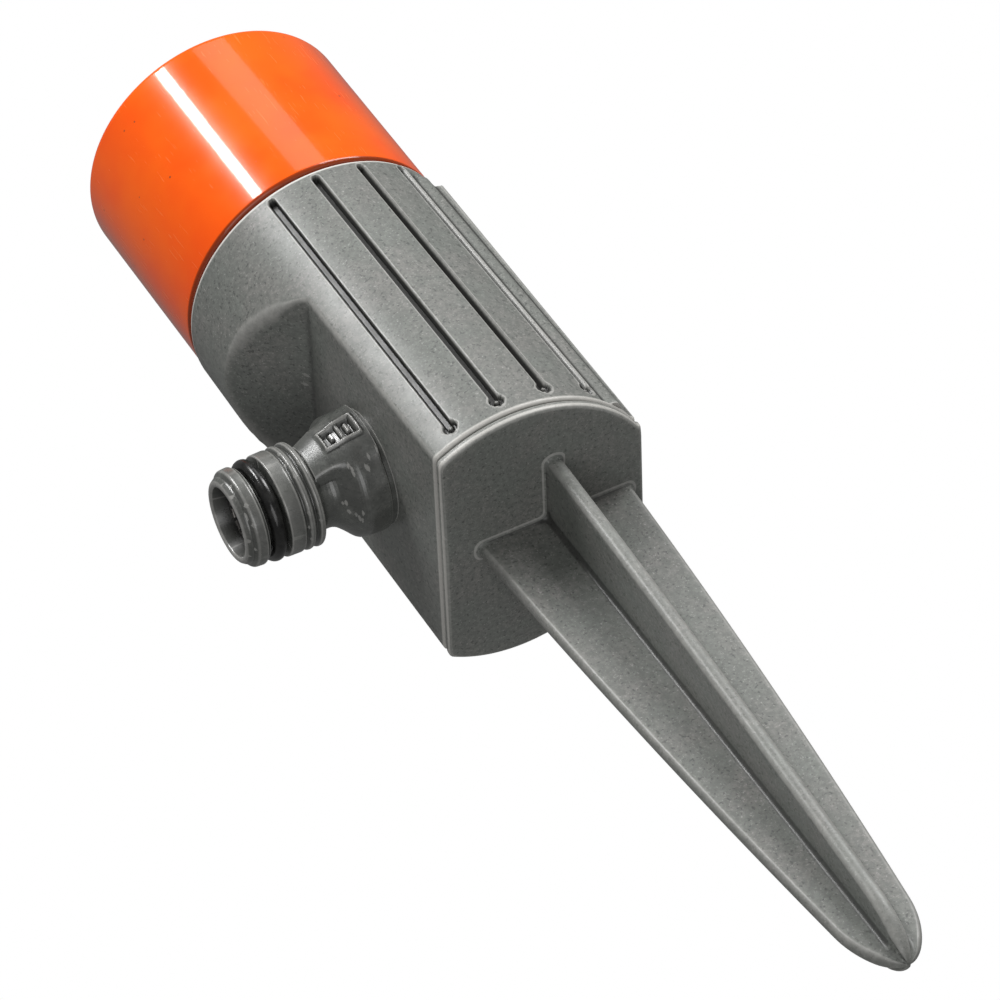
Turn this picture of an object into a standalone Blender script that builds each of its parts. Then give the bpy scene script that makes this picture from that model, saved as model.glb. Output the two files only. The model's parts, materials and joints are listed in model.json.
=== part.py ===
"""Turbine-driven full-circle sprinkler on a ground spike.

Frame: +Z is the axis that the head turns about and points from the spike to the head.  The origin is
on that axis, on the body's flat end face.  The spike hangs below it, the grooved front faces -Y and
the hose nipple points along -X.  All values are metres.
"""

import math

import bmesh
import bpy
from mathutils import Matrix, Vector

MM = 0.001

# ---------------------------------------------------------------- driving dimensions
FIT = 0.3 * MM                  # gap between neighbours that touch on the real object
RUN = 0.5 * MM                  # gap between pieces that move past each other

BODY_HEIGHT = 65.0 * MM         # end face to the collar's rim
COLLAR_RADIUS = 22.8 * MM
COLLAR_EDGE = 0.4 * MM
FOOT_FLARE = 1.0 * MM           # the round wall widens this much towards the end face
FAR_INSET = 1.9 * MM            # the flat pad opposite the nipple, inside the collar's radius
PAD_HALF_WIDTH = 12.2 * MM      # half the width of the flat pad opposite the nipple
PAD_DROP = 1.6 * MM             # rim to the top of that pad
EDGE_ROUND = 0.8 * MM
SIDE_WALL = 2.4 * MM
SHOULDER_SLOPE = 0.87           # rise over run of the slope from the nipple's flat to the collar
SHOULDER_WALL = 2.75 * MM       # slope to the floor under the gearcase

GROOVE_COUNT = 4
GROOVE_PITCH = math.radians(19.6)
GROOVE_MIDDLE = math.radians(8.3)   # the grooves are centred on the arch, not on -Y
GROOVE_WIDTH = 1.4 * MM
GROOVE_DEPTH = 0.9 * MM
GROOVE_FOOT_MARGIN = 2.6 * MM   # body's lower edge to the groove's round end
GROOVE_TOP_MARGIN = 1.2 * MM

TURBINE_BORE = 10.4 * MM        # radius around the turbine
STATOR_SEAT = 0.8 * MM          # width of the ledge that the stator ring lies on
BORE_WALL = 1.9 * MM
FLAT_WALL = 2.4 * MM            # turbine bore to the flat that carries the nipple
RIM_WALL = 2.2 * MM             # collar to the bearing plate's bore
PLATE_SEAT = 1.7 * MM           # width of the ledge that the bearing plate lies on
PLATE_DEPTH = 4.4 * MM          # rim to that ledge
GEAR_FLOOR_THICKNESS = 2.6 * MM

END_PLATE = 1.6 * MM            # thickness of the end plate that carries the spike
LOCATING_HEIGHT = 3.0 * MM
LOCATING_WALL = 1.3 * MM
SPIKE_LENGTH = 101.4 * MM
SPIKE_HALF_WIDTH = 13.3 * MM
SPIKE_TAPER_END = 7.6 * MM      # half width where the rounded nose starts
SPIKE_NOSE = 21.0 * MM
SPIKE_TIP = 1.6 * MM            # half width of the blunt tip
FIN_THICKNESS = 2.4 * MM
SPIKE_X = 5.8 * MM              # the spike stands off the head's axis, away from the nipple

NIPPLE_DROP = 13.6 * MM         # stator's ledge to the nipple's axis
NIPPLE_LENGTH = 24.1 * MM       # flat to the mouth
NIPPLE_BORE = 5.0 * MM
NOSE_RADIUS = 7.85 * MM
NOSE_LENGTH = 3.8 * MM
RING_GROOVE_RADIUS = 5.7 * MM
RING_SECTION = 2.3 * MM
RING_SIDE_GAP = 0.3 * MM
BARREL_RADIUS = 8.2 * MM
BARREL_END = 12.4 * MM          # mouth to the shoulder that a hose connector locks behind
NECK_RADIUS = 6.4 * MM
FLARE_START = 15.6 * MM
FLANGE_RADIUS = 9.8 * MM
FLANGE_LENGTH = 5.2 * MM
SPIGOT_RADIUS = 6.6 * MM
SPIGOT_LENGTH = 2.4 * MM
GASKET_THICKNESS = 0.8 * MM
GASKET_WIDTH = 1.6 * MM
STRAINER_WALL = 0.6 * MM
STRAINER_DRAFT = 0.8 * MM
STRAINER_MOUTH = 2.4 * MM       # mouth of the nipple to the strainer's rim
STRAINER_MARGIN = 3.0 * MM

HEAD_INSET = 0.1 * MM           # the head is this much slimmer than the collar
HEAD_HEIGHT = 36.0 * MM
HEAD_GAP = 0.7 * MM
HEAD_WALL = 2.1 * MM
HEAD_EDGE = 0.8 * MM

PRESSURE_ANGLE = math.radians(20)
PINION_TEETH = 9
WHEEL_TEETH = 28
PINION_ADDENDUM = 1.0           # in modules
WHEEL_ADDENDUM = 0.6            # short, so that it clears a small pinion's roots
DEDENDUM = 1.25
TOOTH_THINNING = 0.22 * MM      # backlash taken from each tooth
GEAR_LAYERS = 4
FACE_WIDTH = 1.2 * MM
LAYER_GAP = 0.3 * MM
HUB_RADIUS = 3.0 * MM
CASE_CLEARANCE = 1.2 * MM       # gearcase to its bore, where the water passes
CASE_WALL = 0.9 * MM
CASE_LIFT = 1.3 * MM            # water passes under the gearcase here
CASE_FEET = 3
FOOT_WIDTH = 3.0 * MM
WHEEL_CLEARANCE = 0.6 * MM      # lay wheel to the gearcase
COVER_THICKNESS = 0.8 * MM

SHAFT_RADIUS = 0.75 * MM
BLADE_CLEARANCE = 0.9 * MM
TURBINE_HEIGHT = 5.0 * MM
TURBINE_HEADROOM = 2.6 * MM
TURBINE_HUB = 3.0 * MM
TURBINE_BLADES = 8
BLADE_THICKNESS = 1.0 * MM
BLADE_ANGLE = math.radians(32)
BAND_WALL = 1.1 * MM
BAND_INSET = 1.4 * MM           # wheel's faces to the band around the blades
STATOR_THICKNESS = 2.6 * MM
STATOR_JETS = 6
STATOR_ANGLE = math.radians(38)
JET_SLOT_LENGTH = 3.2 * MM
JET_SLOT_WIDTH = 1.6 * MM
STATOR_GAP = 1.6 * MM
FOOT_BUSH_RADIUS = 2.2 * MM
FOOT_BUSH_FLOOR = 0.6 * MM
SEAL_BOSS_RADIUS = 3.8 * MM
SEAL_BOSS_DEPTH = 2.2 * MM
SEAL_BOSS_WALL = 0.9 * MM

RISER_RADIUS = 5.0 * MM
RISER_WALL = 1.4 * MM
RISER_FLANGE = 3.2 * MM         # how far the flange stands out from the riser
RISER_FLANGE_THICKNESS = 1.4 * MM
RISER_WINDOW = 3.0 * MM
RISER_PLUG = 1.2 * MM
DRIVE_HEX_RADIUS = 2.4 * MM
DRIVE_HEX_LENGTH = 1.8 * MM
TOWER_WALL = 1.7 * MM
TOWER_HEIGHT = 14.0 * MM        # above the bearing plate
PLATE_THICKNESS = 1.4 * MM
PLATE_SEAL_THICKNESS = 0.8 * MM
CLIP_THICKNESS = 0.6 * MM
CLIP_GROOVE = 0.8 * MM
CLIP_WIDTH = 2.0 * MM
FLANGE_CLEARANCE = 0.7 * MM
BUSH_WALL = 1.8 * MM
WEB_HEIGHT = 9.4 * MM           # bearing plate's underside to the web above the riser's flange
WASHER_THICKNESS = 0.7 * MM
LIP_SEAL_HEIGHT = 1.6 * MM
LOWER_BUSH_HEIGHT = 1.8 * MM
BUSH_FLANGE = 0.8 * MM
BUSH_COLLAR = 1.6 * MM

JET_ELEVATION = math.radians(20)
NOZZLE_BODY_WALL = 3.0 * MM
NOZZLE_BODY_TOP = 4.2 * MM      # middle of the jet to the top of the nozzle's block
NOZZLE_SOCKET = 2.8 * MM        # how far the riser enters the block
NOZZLE_TUBE = 4.3 * MM
NOZZLE_GAP = 1.0 * MM           # tube's end to the head's wall
NOZZLE_BORE = 3.0 * MM
INSERT_WALL = 0.6 * MM
INSERT_DEPTH = 5.5 * MM
SEAL_THICKNESS = 0.8 * MM
NOZZLE_TIP_BORE = 1.7 * MM
JET_WINDOW = 4.0 * MM
POST_RADIUS = 4.2 * MM
SCREW_RADIUS = 1.2 * MM
SCREW_HEAD_RADIUS = 1.9 * MM
SCREW_HEAD_HEIGHT = 1.2 * MM
SCREW_BOSS_WALL = 1.4 * MM
SCREW_TO_PLUG = 1.2 * MM        # wall between the flow screw's hole and the plug's recess
SCREW_SLOT = 0.6 * MM
HEAD_SCREW_RADIUS = 1.4 * MM
HEAD_SCREW_HEAD = 2.7 * MM
HEAD_SCREW_HEIGHT = 1.1 * MM
PLUG_RADIUS = 6.2 * MM
PLUG_THICKNESS = 0.7 * MM
TOP_RECESS = 2.4 * MM
RECESS_FLOOR = 1.5 * MM
RECESS_WALL = 1.2 * MM
KEY_PIN_RADIUS = 0.7 * MM

PAST = 1.0 * MM                 # how far a cutter runs past what it cuts
ROUND = 40                      # segments of large round pieces
SMALL = 24
TINY = 14

# ---------------------------------------------------------------- radii and flats worked out from them
FOOT_RADIUS = COLLAR_RADIUS + FOOT_FLARE
FAR_FLAT = COLLAR_RADIUS - FAR_INSET
NIPPLE_FLAT = TURBINE_BORE + FLAT_WALL
INLET_BORE = TURBINE_BORE - STATOR_SEAT
TURBINE_RADIUS = TURBINE_BORE - BLADE_CLEARANCE
PLATE_BORE = COLLAR_RADIUS - RIM_WALL
GEAR_BORE = PLATE_BORE - PLATE_SEAT
CASE_RADIUS = GEAR_BORE - CASE_CLEARANCE
GEAR_ROOM = CASE_RADIUS - CASE_WALL - WHEEL_CLEARANCE
GEAR_MODULE = GEAR_ROOM / (PINION_TEETH / 2 + WHEEL_TEETH + WHEEL_ADDENDUM)
CENTRE_DISTANCE = GEAR_MODULE * (PINION_TEETH + WHEEL_TEETH) / 2
RING_GROOVE_WIDTH = RING_SECTION + 2 * RING_SIDE_GAP
GASKET_SEAT_RADIUS = SPIGOT_RADIUS + FIT + GASKET_WIDTH + FIT
RISER_BORE = RISER_RADIUS - RISER_WALL
RISER_FLANGE_RADIUS = RISER_RADIUS + RISER_FLANGE
FLANGE_BORE = RISER_FLANGE_RADIUS + FLANGE_CLEARANCE
BUSH_BORE = RISER_RADIUS + BUSH_WALL
TOWER_RADIUS = FLANGE_BORE + TOWER_WALL
HEAD_RADIUS = COLLAR_RADIUS - HEAD_INSET
NOZZLE_BODY_RADIUS = RISER_RADIUS + NOZZLE_BODY_WALL
INSERT_BORE = NOZZLE_BORE + INSERT_WALL
TUBE_REACH = HEAD_RADIUS - HEAD_WALL - NOZZLE_GAP - NOZZLE_TUBE * math.sin(JET_ELEVATION)
NOZZLE_TUBE_LENGTH = TUBE_REACH / math.cos(JET_ELEVATION)
NOZZLE_SEAT = NOZZLE_TUBE_LENGTH - INSERT_DEPTH
RECESS_RADIUS = PLUG_RADIUS + FIT
FLOW_SCREW_Y = RECESS_RADIUS + SCREW_TO_PLUG + SCREW_HEAD_RADIUS

# ---------------------------------------------------------------- heights worked out from them
BODY_FOOT_Z = END_PLATE + FIT
PAD_TOP = BODY_HEIGHT - PAD_DROP
PLATE_LEDGE_Z = BODY_HEIGHT - PLATE_DEPTH
LAYER_PITCH = FACE_WIDTH + LAYER_GAP
COVER_TOP_Z = PLATE_LEDGE_Z - FIT
COVER_Z = COVER_TOP_Z - COVER_THICKNESS
LAYER_Z = [COVER_Z - (GEAR_LAYERS - layer) * LAYER_PITCH for layer in range(GEAR_LAYERS)]
CASE_FLOOR_TOP_Z = LAYER_Z[0] - LAYER_GAP
CASE_FLOOR_Z = CASE_FLOOR_TOP_Z - CASE_WALL
GEAR_FLOOR_Z = CASE_FLOOR_Z - CASE_LIFT
SEAL_BOSS_Z = CASE_FLOOR_Z - SEAL_BOSS_DEPTH
TURBINE_Z = SEAL_BOSS_Z - TURBINE_HEADROOM - TURBINE_HEIGHT
STATOR_TOP_Z = TURBINE_Z - STATOR_GAP
STATOR_Z = STATOR_TOP_Z - STATOR_THICKNESS
STATOR_LEDGE_Z = STATOR_Z - FIT
NIPPLE_Z = STATOR_LEDGE_Z - NIPPLE_DROP
NIPPLE_MOUTH_X = -NIPPLE_FLAT - NIPPLE_LENGTH
SHOULDER_Z = GEAR_FLOOR_Z - SHOULDER_WALL - SHOULDER_SLOPE * (GEAR_BORE - NIPPLE_FLAT)
PLATE_SEAL_Z = PLATE_LEDGE_Z + FIT
PLATE_Z = PLATE_SEAL_Z + PLATE_SEAL_THICKNESS + FIT
PLATE_TOP_Z = PLATE_Z + PLATE_THICKNESS
CLIP_Z = PLATE_TOP_Z + FIT / 2
TOWER_TOP_Z = PLATE_TOP_Z + TOWER_HEIGHT
WEB_Z = PLATE_Z + WEB_HEIGHT
WASHER_Z = WEB_Z - FIT - WASHER_THICKNESS
RISER_FLANGE_Z = WASHER_Z - FIT - RISER_FLANGE_THICKNESS
RISER_BOTTOM_Z = COVER_TOP_Z + RUN
RISER_PLUG_Z = RISER_BOTTOM_Z + DRIVE_HEX_LENGTH + RISER_PLUG
LIP_SEAL_Z = WEB_Z + FIT
LOWER_BUSH_Z = LIP_SEAL_Z + LIP_SEAL_HEIGHT + FIT
UPPER_BUSH_Z = LOWER_BUSH_Z + LOWER_BUSH_HEIGHT + FIT
BUSH_FLANGE_Z = TOWER_TOP_Z + FIT
RISER_CLIP_Z = BUSH_FLANGE_Z + BUSH_FLANGE + RUN
NOZZLE_BODY_Z = RISER_CLIP_Z + CLIP_THICKNESS + RUN
RISER_TOP_Z = NOZZLE_BODY_Z + NOZZLE_SOCKET
JET_Z = RISER_TOP_Z + NOZZLE_BORE
NOZZLE_TOP_Z = JET_Z + NOZZLE_BODY_TOP
HEAD_Z = BODY_HEIGHT + HEAD_GAP
HEAD_TOP_Z = HEAD_Z + HEAD_HEIGHT
HEAD_CEILING_Z = HEAD_TOP_Z - HEAD_WALL
RECESS_Z = HEAD_TOP_Z - TOP_RECESS
HEAD_BOSS_Z = RECESS_Z - RECESS_FLOOR
POST_TOP_Z = HEAD_BOSS_Z - FIT
JET_DIRECTION = Vector((0.0, math.cos(JET_ELEVATION), math.sin(JET_ELEVATION)))
JET_START = Vector((0.0, 0.0, JET_Z))
JET_AT_SCREW_Z = JET_Z + FLOW_SCREW_Y * math.tan(JET_ELEVATION)


# ---------------------------------------------------------------- scene and materials
def clear_scene():
    for old in list(bpy.data.objects):
        bpy.data.objects.remove(old, do_unlink=True)


def make_collection(name):
    made = bpy.data.collections.new(name)
    bpy.context.scene.collection.children.link(made)
    return made


def make_material(name, colour, roughness, metallic=0.0):
    made = bpy.data.materials.new(name)
    made.use_nodes = True
    shader = made.node_tree.nodes["Principled BSDF"]
    shader.inputs["Base Color"].default_value = (*colour, 1.0)
    shader.inputs["Roughness"].default_value = roughness
    shader.inputs["Metallic"].default_value = metallic
    return made


clear_scene()
PARTS = make_collection("turbine_sprinkler")
CUTTERS = make_collection("cutters")

GREY_PLASTIC = make_material("grey_plastic", (0.25, 0.26, 0.25), 0.45)
ORANGE_PLASTIC = make_material("orange_plastic", (0.90, 0.17, 0.01), 0.25)
BLACK_RUBBER = make_material("black_rubber", (0.012, 0.012, 0.012), 0.4)
WHITE_PLASTIC = make_material("white_plastic", (0.8, 0.8, 0.76), 0.4)
BLACK_PLASTIC = make_material("black_plastic", (0.03, 0.03, 0.03), 0.4)
STEEL = make_material("steel", (0.6, 0.6, 0.6), 0.3, 1.0)
MESH_STEEL = make_material("strainer_steel", (0.55, 0.55, 0.53), 0.35, 1.0)


# ---------------------------------------------------------------- mesh helpers
def place(name, mesh, material):
    """A new object: a part of the sprinkler if it has a material, and a cutter if not."""
    mesh.name = name
    made = bpy.data.objects.new(name, mesh)
    if material is None:
        CUTTERS.objects.link(made)
        made.hide_render = True
        made.display_type = "WIRE"
    else:
        PARTS.objects.link(made)
        mesh.materials.clear()
        mesh.materials.append(material)
    return made


def smooth(target, angle=35):
    target.data.shade_smooth()
    target.data.set_sharp_from_angle(angle=math.radians(angle))
    return target


def evaluated_mesh(target):
    bpy.context.view_layer.update()
    graph = bpy.context.evaluated_depsgraph_get()
    return bpy.data.meshes.new_from_object(target.evaluated_get(graph))


def bake(target):
    """Replace an object's mesh by its evaluated mesh, so that it can be cut or turned."""
    fresh = evaluated_mesh(target)
    old = target.data
    target.modifiers.clear()
    target.data = fresh
    bpy.data.meshes.remove(old)
    return target


def weld(target, distance=0.00001):
    work = bmesh.new()
    work.from_mesh(target.data)
    bmesh.ops.remove_doubles(work, verts=work.verts, dist=distance)
    bmesh.ops.recalc_face_normals(work, faces=work.faces)
    work.to_mesh(target.data)
    work.free()
    return target


def turned(name, profile, material, segments=SMALL, matrix=None, closed=True):
    """A turned solid.  The profile is (radius, height) and runs down its outer side."""
    mesh = bpy.data.meshes.new(name)
    points = [(radius, 0.0, height) for radius, height in profile]
    count = len(points)
    edges = [(i, (i + 1) % count) for i in range(count if closed else count - 1)]
    mesh.from_pydata(points, edges, [])
    made = place(name, mesh, material)
    screw = made.modifiers.new("turn", "SCREW")
    screw.axis = "Z"
    screw.angle = math.tau
    screw.steps = segments
    screw.render_steps = segments
    screw.use_merge_vertices = True
    screw.merge_threshold = 0.00001
    bake(made)
    weld(made)
    if matrix is not None:
        made.data.transform(matrix)
    return smooth(made)


def ring(name, outer, inner, top, bottom, material, segments=SMALL, matrix=None):
    profile = [(outer, top), (outer, bottom), (inner, bottom), (inner, top)]
    return turned(name, profile, material, segments, matrix)


def disc(name, radius, low, high, material=None, segments=SMALL, matrix=None):
    """A plain cylinder between two heights."""
    mesh = bpy.data.meshes.new(name)
    work = bmesh.new()
    bmesh.ops.create_cone(work, cap_ends=True, segments=segments, radius1=radius, radius2=radius,
                          depth=high - low)
    bmesh.ops.translate(work, verts=work.verts, vec=(0.0, 0.0, (high + low) / 2))
    if matrix is not None:
        bmesh.ops.transform(work, matrix=matrix, verts=work.verts)
    work.to_mesh(mesh)
    work.free()
    return smooth(place(name, mesh, material))


def box(name, low, high, material=None, matrix=None):
    """A plain block between two corners."""
    mesh = bpy.data.meshes.new(name)
    work = bmesh.new()
    bmesh.ops.create_cube(work, size=1.0)
    size = [high[i] - low[i] for i in range(3)]
    middle = [(high[i] + low[i]) / 2 for i in range(3)]
    bmesh.ops.scale(work, vec=size, verts=work.verts)
    bmesh.ops.translate(work, vec=middle, verts=work.verts)
    if matrix is not None:
        bmesh.ops.transform(work, matrix=matrix, verts=work.verts)
    work.to_mesh(mesh)
    work.free()
    return place(name, mesh, material)


def prism(name, outline, low, high, material=None, matrix=None):
    """A flat outline in X and Y, given thickness along Z by a filled curve's extrude."""
    curve = bpy.data.curves.new(name + "_outline", "CURVE")
    curve.dimensions = "2D"
    curve.fill_mode = "BOTH"
    curve.extrude = (high - low) / 2
    spline = curve.splines.new("POLY")
    spline.points.add(len(outline) - 1)
    for point, (x, y) in zip(spline.points, outline):
        point.co = (x, y, 0.0, 1.0)
    spline.use_cyclic_u = True
    guide = bpy.data.objects.new(name + "_guide", curve)
    CUTTERS.objects.link(guide)
    mesh = evaluated_mesh(guide)
    bpy.data.objects.remove(guide, do_unlink=True)
    made = place(name, mesh, material)
    weld(made)
    made.data.transform(Matrix.Translation((0.0, 0.0, (high + low) / 2)))
    if matrix is not None:
        made.data.transform(matrix)
    return made


def combine(target, tool, operation):
    """Apply one Boolean and remove the tool."""
    cut = target.modifiers.new("cut", "BOOLEAN")
    cut.operation = operation
    cut.solver = "EXACT"
    cut.object = tool
    bake(target)
    bpy.data.objects.remove(tool, do_unlink=True)
    return target


def subtract(target, tool):
    return combine(target, tool, "DIFFERENCE")


def unite(target, tool):
    return combine(target, tool, "UNION")


def tidy(target, distance=0.000002):
    """Merge the slivers that Booleans leave and drop faces with no area."""
    work = bmesh.new()
    work.from_mesh(target.data)
    bmesh.ops.remove_doubles(work, verts=work.verts, dist=distance)
    bmesh.ops.dissolve_degenerate(work, edges=work.edges, dist=distance)
    work.to_mesh(target.data)
    work.free()
    return smooth(target)


def along(direction, start):
    """Matrix that turns +Z to a direction and moves the origin to a point."""
    turn = Vector(direction).to_track_quat("Z", "Y").to_matrix().to_4x4()
    return Matrix.Translation(start) @ turn


def on_axis(name, location):
    """An empty on a joint's axis, for what turns about it."""
    made = bpy.data.objects.new(name, None)
    made.location = location
    PARTS.objects.link(made)
    return made


# ---------------------------------------------------------------- body
def end_outline(inset):
    """The end face's outline, moved inwards: a circle with the nipple's flat and the far pad."""
    radius = FOOT_RADIUS - inset
    left = -NIPPLE_FLAT + inset
    right = FAR_FLAT - inset
    half_pad = PAD_HALF_WIDTH - inset
    start = math.atan2(-math.sqrt(radius ** 2 - left ** 2), left)
    corner_x = math.sqrt(radius ** 2 - half_pad ** 2)
    stands_out = corner_x < right
    stop = math.atan2(-half_pad, corner_x) if stands_out else -math.acos(right / radius)
    steps = 14
    turns = [start + (stop - start) * step / steps for step in range(steps + 1)]
    front = [(radius * math.cos(turn), radius * math.sin(turn)) for turn in turns]
    if stands_out:
        front.append((right, -half_pad))
    return front + [(x, -y) for x, y in reversed(front)]


def shoulder_wedge():
    """What is cut away beside the nipple: a slab with a sloping top."""
    outer = FOOT_RADIUS + PAST
    rise = SHOULDER_SLOPE * (outer - NIPPLE_FLAT)
    outline = [
        (-NIPPLE_FLAT, -PAST),
        (-outer, -PAST),
        (-outer, SHOULDER_Z + rise),
        (-NIPPLE_FLAT, SHOULDER_Z),
    ]
    reach = 2 * FOOT_RADIUS
    stand = Matrix.Rotation(math.radians(90), 4, "X")
    return prism("shoulder_wedge", outline, -reach, reach, matrix=stand)


def far_side():
    """The slab beyond the flat pad, cut away below the round collar."""
    reach = 2 * FOOT_RADIUS
    return box("far_side", (FAR_FLAT, -reach, -PAST), (reach, reach, PAD_TOP))


def far_pad():
    """The flat pad opposite the nipple, with rounded upright and upper edges."""
    pad = box("pad", (0.0, -PAD_HALF_WIDTH, BODY_FOOT_Z), (FAR_FLAT, PAD_HALF_WIDTH, PAD_TOP))
    work = bmesh.new()
    work.from_mesh(pad.data)
    low = BODY_FOOT_Z + FIT
    rounded = [edge for edge in work.edges if max(vert.co.z for vert in edge.verts) > low]
    bmesh.ops.bevel(work, geom=rounded, offset=EDGE_ROUND, segments=2, affect="EDGES", profile=0.5)
    work.to_mesh(pad.data)
    work.free()
    return pad


def groove_cutter(angle):
    """One groove in the arched front, with round ends."""
    half = GROOVE_WIDTH / 2
    low = BODY_FOOT_Z + GROOVE_FOOT_MARGIN + half
    high = BODY_HEIGHT - GROOVE_TOP_MARGIN - half
    steps = 5
    outline = []
    for middle, first in ((high, 0.0), (low, math.pi)):
        for step in range(steps + 1):
            turn = first + math.pi * step / steps
            outline.append((half * math.cos(turn), middle + half * math.sin(turn)))
    lean = math.atan2(FOOT_RADIUS - COLLAR_RADIUS, BODY_HEIGHT)
    floor = FOOT_RADIUS - GROOVE_DEPTH
    reach = FOOT_RADIUS + PAST
    stand = Matrix.Rotation(math.radians(90), 4, "X")
    tilt = Matrix.Rotation(-lean, 4, "X")
    around = Matrix.Rotation(angle, 4, "Z")
    return prism("groove", outline, floor, reach, matrix=around @ tilt @ stand)


def mould_cavity():
    """The hollow between the outer walls and the tube around the turbine."""
    top = GEAR_FLOOR_Z - GEAR_FLOOR_THICKNESS
    cavity = prism("cavity", end_outline(SIDE_WALL), -PAST, top)
    tube = disc("tube", TURBINE_BORE + BORE_WALL, -2 * PAST, top + PAST)
    return subtract(cavity, tube)


def stepped_bore():
    """The way through the body: inlet, turbine, gearcase and bearing plate, from below."""
    return turned(
        "stepped_bore",
        [(0.0, BODY_HEIGHT + PAST), (PLATE_BORE, BODY_HEIGHT + PAST),
         (PLATE_BORE, PLATE_LEDGE_Z), (GEAR_BORE, PLATE_LEDGE_Z),
         (GEAR_BORE, GEAR_FLOOR_Z), (TURBINE_BORE, GEAR_FLOOR_Z),
         (TURBINE_BORE, STATOR_LEDGE_Z), (INLET_BORE, STATOR_LEDGE_Z),
         (INLET_BORE, 0.0), (0.0, 0.0)],
        None, ROUND, closed=False)


def body_shell():
    foot_radius = FOOT_RADIUS - FOOT_FLARE * BODY_FOOT_Z / BODY_HEIGHT
    body = turned(
        "body_shell",
        [(0.0, BODY_HEIGHT), (COLLAR_RADIUS - COLLAR_EDGE, BODY_HEIGHT),
         (COLLAR_RADIUS, BODY_HEIGHT - COLLAR_EDGE), (foot_radius, BODY_FOOT_Z), (0.0, BODY_FOOT_Z)],
        GREY_PLASTIC, ROUND, closed=False)
    subtract(body, far_side())
    unite(body, far_pad())
    subtract(body, shoulder_wedge())
    for index in range(GROOVE_COUNT):
        offset = (index - (GROOVE_COUNT - 1) / 2) * GROOVE_PITCH
        subtract(body, groove_cutter(GROOVE_MIDDLE + offset))
    subtract(body, mould_cavity())
    subtract(body, stepped_bore())
    clip_groove = ring("clip_groove", PLATE_BORE + CLIP_GROOVE, PLATE_BORE - PAST,
                       CLIP_Z + CLIP_THICKNESS + FIT / 2, CLIP_Z - FIT / 2, None, ROUND)
    subtract(body, clip_groove)
    spigot_hole = disc("spigot_hole", SPIGOT_RADIUS + FIT, 0.0, NIPPLE_FLAT / 2,
                       matrix=along((1, 0, 0), (-NIPPLE_FLAT - PAST, 0.0, NIPPLE_Z)))
    subtract(body, spigot_hole)
    return tidy(body)


def fin_outline():
    """Half widths down the spike: a straight taper that ends in a rounded nose."""
    straight = SPIKE_LENGTH - SPIKE_NOSE
    right = [(SPIKE_HALF_WIDTH, END_PLATE / 2), (SPIKE_TAPER_END, -straight)]
    steps = 6
    for step in range(1, steps):
        turn = math.pi / 2 * step / steps
        half = SPIKE_TIP + (SPIKE_TAPER_END - SPIKE_TIP) * math.cos(turn)
        right.append((half, -straight - SPIKE_NOSE * math.sin(turn)))
    right.append((SPIKE_TIP, -SPIKE_LENGTH))
    return right + [(-x, z) for x, z in reversed(right)]


def ground_spike():
    """The end plate, its locating ring and a plus-section spike, moulded in one."""
    spike = prism("ground_spike", end_outline(0.0), 0.0, END_PLATE, GREY_PLASTIC)
    half = FIN_THICKNESS / 2
    stand = Matrix.Rotation(math.radians(90), 4, "X")
    offset = Matrix.Translation((SPIKE_X, 0.0, 0.0))
    quarter = Matrix.Rotation(math.radians(90), 4, "Z")
    locating_ring = ring("locating_ring", INLET_BORE - FIT, INLET_BORE - FIT - LOCATING_WALL,
                         END_PLATE + LOCATING_HEIGHT, END_PLATE - FIT, None)
    unite(spike, locating_ring)
    unite(spike, prism("fin_across", fin_outline(), -half, half, matrix=offset @ stand))
    unite(spike, prism("fin_deep", fin_outline(), -half, half, matrix=offset @ quarter @ stand))
    return tidy(spike)


# ---------------------------------------------------------------- hose nipple
def nipple_frame():
    """From a profile whose mouth is at z = 0, with the rest of it below, to its place."""
    return along((-1, 0, 0), (NIPPLE_MOUTH_X, 0.0, NIPPLE_Z))


def hose_nipple():
    groove_end = NOSE_LENGTH + RING_GROOVE_WIDTH
    flare_end = NIPPLE_LENGTH - FLANGE_LENGTH
    seat = NIPPLE_LENGTH - GASKET_THICKNESS - FIT
    outer = [
        (NOSE_RADIUS - 1.2 * MM, 0.0),
        (NOSE_RADIUS - 0.3 * MM, 0.4 * MM),
        (NOSE_RADIUS, 1.3 * MM),
        (NOSE_RADIUS, NOSE_LENGTH),
        (RING_GROOVE_RADIUS, NOSE_LENGTH),
        (RING_GROOVE_RADIUS, groove_end),
        (BARREL_RADIUS, groove_end),
        (BARREL_RADIUS, BARREL_END),
        (NECK_RADIUS, BARREL_END + 0.3 * MM),
        (NECK_RADIUS, FLARE_START),
    ]
    steps = 4
    for step in range(1, steps + 1):
        turn = math.pi / 2 * step / steps
        outer.append((FLANGE_RADIUS - (FLANGE_RADIUS - NECK_RADIUS) * math.cos(turn),
                      FLARE_START + (flare_end - FLARE_START) * math.sin(turn)))
    outer += [
        (FLANGE_RADIUS, NIPPLE_LENGTH - FIT),
        (GASKET_SEAT_RADIUS, NIPPLE_LENGTH - FIT),
        (GASKET_SEAT_RADIUS, seat),
        (SPIGOT_RADIUS, seat),
        (SPIGOT_RADIUS, NIPPLE_LENGTH + SPIGOT_LENGTH),
        (NIPPLE_BORE, NIPPLE_LENGTH + SPIGOT_LENGTH),
        (NIPPLE_BORE, 0.7 * MM),
        (NIPPLE_BORE + 0.6 * MM, 0.0),
    ]
    profile = [(radius, -depth) for radius, depth in outer]
    return turned("hose_nipple", profile, GREY_PLASTIC, SMALL, nipple_frame())


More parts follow.
